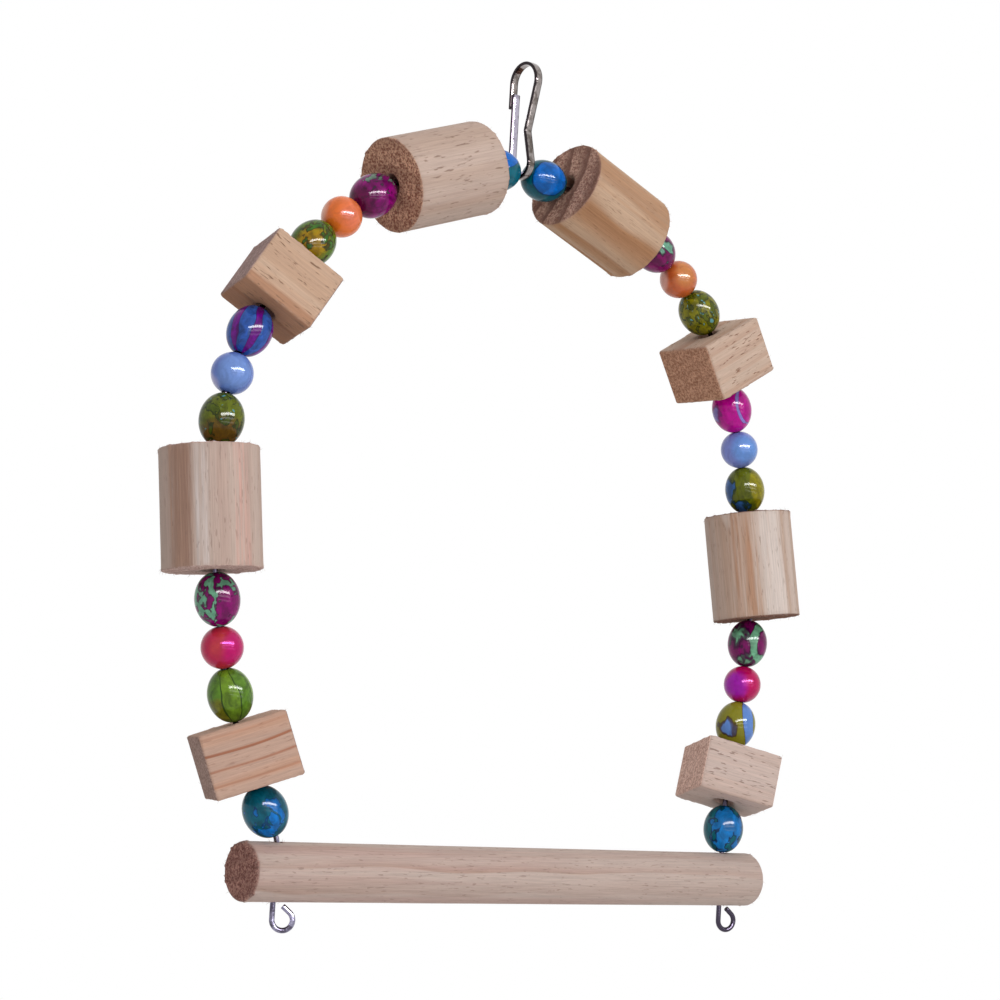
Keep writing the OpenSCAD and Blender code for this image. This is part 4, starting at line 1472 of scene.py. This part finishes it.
@dataclass
class SnapHook:
    """The bent spring strip: nose, crown, spine, neck and loop, and the gate that springs under the nose."""

    thick: float = 1 * MM
    wide: float = 2.6 * MM
    edge: float = 0.22 * MM
    crown_r: float = 5.7 * MM
    nose: float = 7.8 * MM
    loop_r: float = 4.4 * MM
    loop_z: float = -25.5 * MM
    crown_touch: float = 194.134
    loop_touch: float = 165.902
    neck_in: tuple[float, float] = (-2.1351, -14.8635)
    neck_out: tuple[float, float] = (-2.13477, -15.9366)
    gate_foot: float = -24.9 * MM
    gate_tip: float = -3.3 * MM
    neck_bulge: float = 0.0657 * MM
    caps: Caps = ((0.0, 0.0), (0.0, 0.5), (0.0, 0.8), (0.05, 0.93), (0.2, 1.0))

    def section(self) -> list[tuple[float, float]]:
        """Draws the strip's section with its edges rolled.

        Returns:
            Points as (along its width, across its thickness).
        """
        a, b, e = self.wide / 2 - self.edge, self.thick / 2 - self.edge, self.edge
        made = []
        for x, y, start in ((a, b, 0), (-a, b, 90), (-a, -b, 180), (a, -b, 270)):
            for k in range(5):
                t = math.radians(start + 22.5 * k)
                made.append((x + e * math.cos(t), y + e * math.sin(t)))
        return made + [made[0]]

    @staticmethod
    def straight(start: tuple, end: tuple, steps: int) -> list[tuple[float, float]]:
        """Returns even points from after the start to the end."""
        return [(start[0] + (end[0] - start[0]) * k / steps, start[1] + (end[1] - start[1]) * k / steps)
                for k in range(1, steps + 1)]

    def body_line(self) -> list[tuple[float, float]]:
        """Traces the middle of the hook's strip.

        Returns:
            Points as (away from the viewer, height).
        """
        line = [(self.crown_r, -self.nose + self.nose * k / 8) for k in range(8)]
        for k in range(49):
            t = math.radians(self.crown_touch * k / 48)
            line.append((self.crown_r * math.cos(t), self.crown_r * math.sin(t)))
        neck_in, neck_out = ([v * MM for v in neck] for neck in (self.neck_in, self.neck_out))
        line += self.straight(line[-1], neck_in, 10)
        drop = neck_out[1] - neck_in[1]
        for k in range(1, 7):
            line.append((neck_in[0] + self.neck_bulge * math.sin(math.pi * k / 6), neck_in[1] + drop * k / 6))
        t = math.radians(self.loop_touch)
        line += self.straight(neck_out, (self.loop_r * math.cos(t), self.loop_z + self.loop_r * math.sin(t)), 8)
        for k in range(1, 49):
            t = math.radians(self.loop_touch + (360 - self.loop_touch) * k / 48)
            line.append((self.loop_r * math.cos(t), self.loop_z + self.loop_r * math.sin(t)))
        return line

    def strip(self, shop: Workshop, line: list[tuple[float, float]]) -> bpy.types.Mesh:
        """Carries the section along a line.

        Args:
            shop: makes the mesh.
            line: points as (away from the viewer, height).

        Returns:
            The mesh.
        """
        points = [Vector((0, y, z)) for y, z in line]
        side = Vector((1, 0, 0))
        ups = [side.cross(heading(points, k)) for k in range(len(points))]
        rail = Rail()
        rail.follow(points, [side] * len(points), ups, self.caps, self.thick)
        mesh = shop.loft(rail, self.section())
        shop.write(mesh, local=shop.points_of(mesh) / MM)
        return mesh

    def build(self, shop: Workshop, groups: ShaderGroups, finish: Plated, gate_finish: Plated) -> None:
        """Makes the hook and its gate.

        Args:
            shop: makes the meshes.
            groups: the shared effects.
            finish: the metal of the hook.
            gate_finish: the metal of its gate, with colours painted brighter than the hook's as a painted reflection.
        """
        body = self.strip(shop, self.body_line())
        piece = shop.show("snap_hook_strip", body, finish.material("strip", groups), "hook", "spring_strip")
        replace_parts(piece, "snap_hook_body")
        foot = self.gate_foot - self.thick * 0.45
        gate = self.strip(shop, [(self.loop_r, foot + (self.gate_tip - foot) * k / 16) for k in range(17)])
        piece = shop.show("snap_hook_spring", gate, gate_finish.material("gate", groups), "gate", "spring_strip")
        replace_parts(piece, "snap_hook_gate")


@dataclass
class Studio:
    """The plain pale floor, the soft lamps and the camera.

    Fill is the light from all round, and key and sky are lamps in watts. The key's way is to the right, up and nearer
    in the picture, the sky's is on the swing's axes, and the bars' is to the right and nearer. A bar is the pane of a
    window, seen in gloss only: its height, how tall it is and its watts.
    """

    floor_height: float = -0.42
    floor_half: float = 4.0
    floor_colour: Colour = (236, 236, 236)
    middle: Triple = (0.0, 0.0, -0.13)
    distance: float = 1.1
    fill: float = 0.47
    key: float = 6.4
    key_size: float = 1.0
    key_way: Triple = (0.52, 0.42, 0.74)
    sky: float = 2.8
    sky_size: float = 1.2
    sky_way: Triple = (0.25, -0.2, 1.0)
    bar_long: float = 1.5
    bar_way: tuple[float, float] = (0.55, 0.76)
    bars: tuple[Triple, ...] = ((0.42, 0.15, 32.0), (0.16, 0.09, 3.2), (-0.08, 0.07, 1.6))

    @staticmethod
    def seen_share(b: Bench) -> bpy.types.NodeSocket:
        """Tells whether a ray is seen by the camera, in gloss or through something clear."""
        path = b.node("ShaderNodeLightPath").outputs
        seen = b.math("MAXIMUM", path["Is Camera Ray"], path["Is Glossy Ray"])
        return b.math("MAXIMUM", seen, path["Is Transmission Ray"])

    def pale(self, name: str, colour: Colour) -> bpy.types.Material:
        """Builds the floor's material: white to the camera and in gloss, and pale to the light.

        Args:
            name: the material's name.
            colour: the colour that the light falls on.

        Returns:
            The material.
        """
        material, b, shader = new_material(name)
        shader.inputs["Base Color"].default_value = linear(colour)
        shader.inputs["Roughness"].default_value = 0.9
        seen = self.seen_share(b)
        glow = b.node("ShaderNodeEmission", {"Color": (1, 1, 1, 1), "Strength": 1.0})
        mixed = b.node("ShaderNodeMixShader", [seen, shader.outputs[0], glow.outputs[0]])
        b.feed(b.tree.nodes["Material Output"].inputs["Surface"], mixed.outputs[0])
        return material

    def floor(self) -> None:
        """Lays the floor."""
        mesh = bpy.data.meshes.new("floor")
        s = self.floor_half
        mesh.from_pydata([(-s, -s, 0), (s, -s, 0), (s, s, 0), (-s, s, 0)], [], [(0, 1, 2, 3)])
        mesh.transform(Matrix.Translation((0, 0, self.floor_height)))
        mesh.materials.append(self.pale("pale_floor", self.floor_colour))
        made = linked("floor", mesh)

    def world(self) -> None:
        """Sets an even white surround."""
        made = bpy.data.worlds.new("surround")
        made.use_nodes = True
        bpy.context.scene.world = made
        b = Bench(made.node_tree)
        back = made.node_tree.nodes["Background"]
        b.feed(back.inputs["Strength"], b.plus(b.times(self.seen_share(b), 1 - self.fill), self.fill))
        back.inputs["Color"].default_value = (1, 1, 1, 1)

    def lamp(self, name: str, toward: Vector, size: tuple[float, float], power: float) -> bpy.types.Object:
        """Hangs a soft lamp.

        Args:
            name: the lamp's name.
            toward: its direction from the swing's middle.
            size: its width and height.
            power: watts.

        Returns:
            The lamp.
        """
        made = bpy.data.lights.new(name, "AREA")
        made.shape, made.size, made.size_y, made.energy = "RECTANGLE", size[0], size[1], power
        lamp = linked(name, made)
        way = toward.normalized()
        lamp.location = Vector(self.middle) + way * self.distance
        lamp.rotation_mode = "QUATERNION"
        lamp.rotation_quaternion = way.to_track_quat("Z", "Y")
        return lamp

    def camera(self) -> None:
        """Sets up the photograph's camera."""
        right, up, ahead = camera_axes()
        made = bpy.data.cameras.new("camera")
        made.lens, made.sensor_width, made.sensor_fit = CAMERA_LENS, SENSOR_WIDTH, "HORIZONTAL"
        made.clip_start, made.clip_end = CAMERA_CLIP
        holder = linked("camera", made)
        turn = Matrix((right, up, -ahead)).transposed()
        holder.matrix_world = Matrix.Translation(CAMERA_PLACE) @ turn.to_4x4()
        bpy.context.scene.camera = holder

    def build(self) -> None:
        """Sets up the whole studio."""
        right, up, ahead = camera_axes()
        self.camera()
        self.world()
        self.floor()
        across, rise, near = self.key_way
        key_way = across * right + rise * up - near * ahead
        key = self.lamp("key", key_way, (self.key_size, self.key_size), self.key)
        sky = self.lamp("sky", Vector(self.sky_way), (self.sky_size, self.sky_size), self.sky)
        for lamp in (key, sky):
            lamp.visible_glossy = False
        across, near = self.bar_way
        for count, (rise, height, power) in enumerate(self.bars):
            toward = across * right + rise * up - near * ahead
            bar = self.lamp("window_bar_%d" % count, toward, (self.bar_long, height), power)
            bar.visible_diffuse = False
        bpy.context.scene.view_settings.view_transform = "Standard"


FINISHES: dict[tuple[Arm, int], tuple[Marble | Pearl, str]] = {
    (Arm.LEFT, 1): (Marble((0, 106, 132), (6, 124, 214), outline=(0, 54, 92), seed=2.0, base=-0.4, line=0.05,
        soft=0.06, noise=2.4, scale=0.3, dark=0.3, patches=((0.35, 0.05, 0.86), (0.1, -0.6, 0.94))), "bead_teal"),
    (Arm.LEFT, 3): (Marble((104, 150, 42), (118, 156, 38), (136, 138, 22), outline=(30, 56, 12), seed=5.0, noise=0.7,
        base=0.0, stripes=0.9, stripe_count=4.0, stripe_at=0.12, line=0.17, twist=0.05, warp=1.8,
        wash=(-0.5, -0.7, 0.8, 0.1)), "bead_green"),
    # Left 4: the orange patch near the middle paints glints of reflection, and the magenta wash on the right paints a
    # highlight.
    (Arm.LEFT, 4): (Pearl((190, 36, 60), (206, 92, 58), (184, 20, 92), seed=3.0, patches=((-0.15, 0.15, 0.9),),
        wash=(0.85, -0.1, 0.62, 0.25)), "bead_red"),
    (Arm.LEFT, 5): (Marble((120, 188, 152), (144, 4, 112), outline=(64, 0, 54), seed=11.0, scale=0.5, base=-0.02,
        line=0.11, dark=0.3, warp=1.2, noise=2.1, patches=((0.75, -0.15, 0.66),)), "bead_mint"),
    (Arm.LEFT, 7): (Marble((110, 122, 18), (86, 102, 14), (118, 86, 20), outline=(36, 46, 10), flake=(84, 150, 160),
        seed=4.0, base=-0.12, noise=2.6, scale=0.36, flakes=0.5, flake_scale=0.6, line=0.09,
        wash=(0.1, -0.8, 0.5, 0.25)), "bead_olive"),
    # Left 8: the pale lavender wash on the left rim is a painted sheen.
    (Arm.LEFT, 8): (Pearl((98, 124, 206), (116, 150, 218), (176, 174, 218), seed=6.0, patches=((0.3, 0.1, 0.6),),
        wash=(-0.9, -0.4, 0.88, 0.1), sheen=(210, 220, 255)), "bead_blue"),
    (Arm.LEFT, 9): (Marble((52, 98, 190), (122, 10, 150), outline=(54, 4, 86), seed=8.0, noise=1.2, base=-0.35,
        stripes=0.9, stripe_count=6.0, stripe_at=0.32, twist=0.24, line=0.13, warp=1.7,
        dark=0.4), "bead_blue_violet"),
    (Arm.LEFT, 11): (Marble((96, 134, 20), (70, 124, 36), (182, 142, 10), outline=(56, 46, 8), seed=1.0, scale=0.42,
        base=-0.16, line=0.12, noise=2.2, wash=(0.1, 0.0, 0.72, 0.18)), "bead_olive"),
    # Left 12: the pinker patch to the right is a painted highlight, and the pale wash on the left rim a painted
    # sheen.
    (Arm.LEFT, 12): (Pearl((238, 118, 36), (236, 124, 84), (236, 170, 140), seed=9.0, patches=((0.7, 0.1, 0.8),),
        wash=(-0.95, 0.2, 0.9, 0.1), sheen=(255, 200, 220)), "bead_orange"),
    (Arm.LEFT, 13): (Marble((152, 4, 122), (122, 150, 132), (108, 0, 76), outline=(50, 2, 44), seed=3.0, base=-0.85,
        line=0.09, noise=2.6, dark=0.45, scale=0.5, patches=((0.3, 0.75, 0.84),),
        wash=(-0.5, -0.4, 0.75, 0.15)), "bead_plum"),
    (Arm.LEFT, 15): (Marble((0, 104, 124), (0, 108, 206), outline=(0, 60, 100), seed=7.0, base=-0.9, noise=0.35,
        line=0.03, dark=0.2, patches=((0.1, 0.9, 0.45),)), "bead_sky"),
    (Arm.RIGHT, 1): (Marble((0, 110, 126), (18, 132, 214), outline=(10, 34, 72), seed=14.0, base=-0.5, noise=2.2,
        line=0.1, scale=0.36, dark=0.3, patches=((0.2, 0.3, 0.66), (0.1, -0.5, 0.84))), "bead_teal"),
    (Arm.RIGHT, 3): (Marble((136, 132, 30), (98, 140, 212), outline=(66, 42, 22), seed=15.0, base=-0.9, noise=0.9,
        line=0.06, dark=0.05, band=(1.0, 0.1, 0.0, 0.6, 0.24), patches=((-0.6, 0.0, 0.88),)), "bead_green"),
    (Arm.RIGHT, 4): (Pearl((190, 4, 84), (158, 20, 172), (190, 60, 120), seed=13.0, patches=((-0.65, 0.0, 0.68),),
        sheen=(255, 150, 220)), "bead_red"),
    (Arm.RIGHT, 5): (Marble((136, 4, 104), (122, 192, 150), outline=(54, 0, 50), seed=16.0, base=-0.9, noise=1.1,
        line=0.11, dark=0.3, scale=0.28, band=(0.9, 0.0, 0.4, 0.62, 0.16),
        patches=((-0.62, 0.35, 0.87), (0.05, -0.8, 0.93))), "bead_mint"),
    (Arm.RIGHT, 7): (Marble((104, 112, 14), (56, 108, 178), (160, 150, 14), outline=(20, 46, 30), seed=17.0,
        base=-0.85, noise=1.2, line=0.09, scale=0.3, dark=0.3, patches=((-0.97, -0.1, 0.82), (-0.4, -0.85, 0.87)),
        wash=(0.95, 0.1, 0.5, 0.05)), "bead_green"),
    (Arm.RIGHT, 8): (Pearl((120, 134, 206), (98, 146, 216), (160, 156, 210), seed=12.0, patches=((0.5, 0.1, 0.65),),
        sheen=(224, 220, 255)), "bead_blue"),
    (Arm.RIGHT, 9): (Marble((198, 0, 152), (146, 126, 208), outline=(116, 0, 100), seed=19.0, base=-0.95, noise=1.0,
        line=0.05, dark=0.22, band=(0.9, 0.2, 0.45, 0.62, 0.05), patches=((-0.93, -0.15, 0.9),)), "bead_magenta"),
    (Arm.RIGHT, 11): (Marble((138, 134, 16), (98, 108, 16), outline=(46, 50, 12), flake=(96, 156, 160), seed=20.0,
        scale=0.46, base=-0.1, noise=2.5, flakes=0.6, flake_scale=0.55, line=0.1), "bead_olive"),
    # Right 12: the golden patch up and to the right is a painted highlight, and the pinkish-tan wash on the left rim
    # a painted sheen.
    (Arm.RIGHT, 12): (Pearl((196, 90, 38), (220, 146, 74), (214, 152, 136), seed=18.0, patches=((0.35, 0.3, 0.86),),
        wash=(-0.95, 0.0, 0.84, 0.1), sheen=(255, 240, 230)), "bead_orange"),
    (Arm.RIGHT, 13): (Marble((134, 8, 98), (122, 186, 156), outline=(54, 2, 48), seed=21.0, base=-0.7, noise=1.6,
        line=0.1, scale=0.3, patches=((0.35, -0.1, 0.86),)), "bead_plum"),
    (Arm.RIGHT, 15): (Marble((0, 96, 112), (0, 108, 204), outline=(0, 46, 80), seed=22.0, base=-0.95, noise=0.5,
        line=0.04, dark=0.3, patches=((0.45, 0.05, 0.6),)), "bead_teal"),
}

WOODS: dict[tuple[Arm, int], Timber] = {
    (Arm.LEFT, 2): Timber(early=(192, 158, 140), late=(164, 106, 80), streak=(202, 150, 120), seed=31.0,
        pith=(4.0, 60.0), spacing=4.2, start=0.72, rings=0.8, flecks=0.3, streaks=0.5, sawn=(142, 114, 104),
        bare=(186, 156, 144)),
    # Left 6: the first mark, a broad darker brown band left of the middle, is painted shade; the thin pale and pink
    # bands are the wood's own.
    (Arm.LEFT, 6): Timber(early=(192, 170, 158), late=(176, 144, 130), streak=(182, 152, 140), seed=32.0, spacing=5.5,
        rings=0.3, flecks=0.4, streaks=0.35, sawn=(176, 140, 130), bare=(216, 188, 178),
        stains_and_shade=((-0.5, 17.0, (154, 118, 100)), (-0.62, 2.0, (206, 168, 146)), (-0.07, 3.0, (208, 196, 192)),
                (0.68, 4.0, (208, 158, 146)))),
    (Arm.LEFT, 10): Timber(early=(200, 168, 144), late=(184, 142, 112), streak=(190, 148, 120), seed=33.0,
        pith=(-30.0, 8.0), spacing=7.0, rings=0.3, flecks=1.0, streaks=0.3, sawn=(150, 124, 118),
        bare=(192, 160, 154), stains_and_shade=((-0.72, 33.0, (172, 124, 94)), (-1.0, 46.0, (152, 106, 80)))),
    (Arm.LEFT, 14): Timber(early=(194, 171, 158), late=(176, 146, 126), seed=34.0, pith=(48.0, 14.0), spacing=8.0,
        rings=0.3, flecks=0.8, streaks=0.2, sawn=(142, 94, 76), bare=(226, 178, 148), bands=0.35),
    (Arm.RIGHT, 2): Timber(early=(202, 180, 170), late=(182, 152, 138), seed=35.0, spacing=6.0, rings=0.2, flecks=0.8,
        streaks=0.25, sawn=(198, 154, 138), bare=(248, 212, 196), bands=0.15),
    (Arm.RIGHT, 6): Timber(early=(200, 180, 168), late=(174, 138, 114), streak=(186, 148, 126), seed=36.0,
        spacing=4.2, rings=0.5, flecks=0.4, streaks=0.45,
        stains_and_shade=((-0.42, 7.0, (172, 124, 92)), (-0.1, 4.0, (178, 130, 98)), (0.45, 16.0, (214, 200, 192)))),
    (Arm.RIGHT, 10): Timber(early=(200, 174, 156), late=(176, 130, 102), seed=37.0, pith=(14.0, 42.0), spacing=4.0,
        rings=0.4, flecks=0.9, sawn=(158, 112, 88), bare=(206, 158, 130), bands=0.2),
    (Arm.RIGHT, 14): Timber(early=(194, 162, 136), late=(160, 114, 80), streak=(180, 132, 94), seed=38.0,
        pith=(5.0, 46.0), spacing=6.6, rings=0.7, flecks=0.4, streaks=0.5, sawn=(146, 104, 90), bare=(212, 170, 150),
        bands=0.9),
}
PERCH_WOOD = Timber(early=(194, 174, 164), late=(172, 140, 126), streak=(186, 150, 140), seed=40.0, pith=(9.0, 26.0),
                    spacing=5.0, rings=0.6, flecks=0.4, streaks=0.5, sawn=(126, 84, 76), bare=(190, 142, 128),
                    depth=0.0005)
# The hook's and the wire's colours are set darker than the metal, a painted reflection of dark surroundings over real
# tarnish and drawn lines. Each edge colour is a painted darker reflection, on the strip's edges and on the wire's
# outer arms, by how far out it runs.
STRIP = Plated((166, 158, 156), (100, 92, 86), (48, 42, 44), 0.05, (1.0, 0.08, 0.08), half=1.3, seed=3.0)
# The gate's lighter colours paint a brighter reflection on the same metal as the hook.
GATE = Plated((190, 184, 200), (150, 144, 158), (66, 58, 66), 0.06, (1.0, 0.08, 0.08), half=1.3, seed=9.0)
WIRE = Plated((176, 172, 198), (112, 106, 126), (70, 64, 78), 0.06, (0.5, 1.0, 0.5), seed=5.0)

# Each block's width, its depth along the bore, and its turn about the bore in degrees
BLOCK_SIZES = {
    (Arm.LEFT, 2): (25.6, 18.5, -24.0), (Arm.LEFT, 10): (25.6 * 0.91, 18.5, -17.0),
    (Arm.RIGHT, 2): (25.6, 18.5 * 0.93, -24.0), (Arm.RIGHT, 10): (25.6, 18.5, 0.0),
}


def string_pieces(shop: Workshop, groups: ShaderGroups, joints: list[dict]) -> None:
    """Makes every bead and wooden piece, from the perch up.

    Args:
        shop: makes the meshes.
        groups: the shared effects.
        joints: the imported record's joints.
    """
    for arm in Arm:
        numbers = {kind: 0 for kind in Kind}
        for count, kind in enumerate(STRINGING, 1):
            numbers[kind] += 1
            common = {"arm": arm, "count": count, "kind": kind, "number": numbers[kind]}
            if kind is Kind.OVAL:
                piece = Bead(**common)
            elif kind is Kind.ROUND:
                piece = Bead(**common, long=12 * MM, wide=12 * MM)
            elif kind is Kind.CYLINDER:
                piece = Cylinder(**common)
            else:
                wide, deep, spin = BLOCK_SIZES[arm, count]
                piece = Block(**common, spin=spin, wide=wide * MM, long=deep * MM)
            piece.settle(joints)
            if isinstance(piece, Bead):
                piece.build(shop, groups, *FINISHES[arm, count])
            else:
                piece.build(shop, groups, WOODS[arm, count])
            LOG.info("strung %s", piece.node)


def main() -> None:
    """Builds the whole scene in order."""
    logging.basicConfig(level=logging.INFO, format="%(message)s")
    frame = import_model()
    Studio().build()
    LOG.info("studio")
    shop, groups = Workshop(), ShaderGroups()
    SnapHook().build(shop, groups, STRIP, GATE)
    LOG.info("snap hook")
    ArchWire().build(shop, groups, WIRE)
    LOG.info("arch wire")
    Perch().build(shop, groups, PERCH_WOOD)
    LOG.info("perch")
    string_pieces(shop, groups, frame["joints"])


if __name__ == "__main__":
    main()
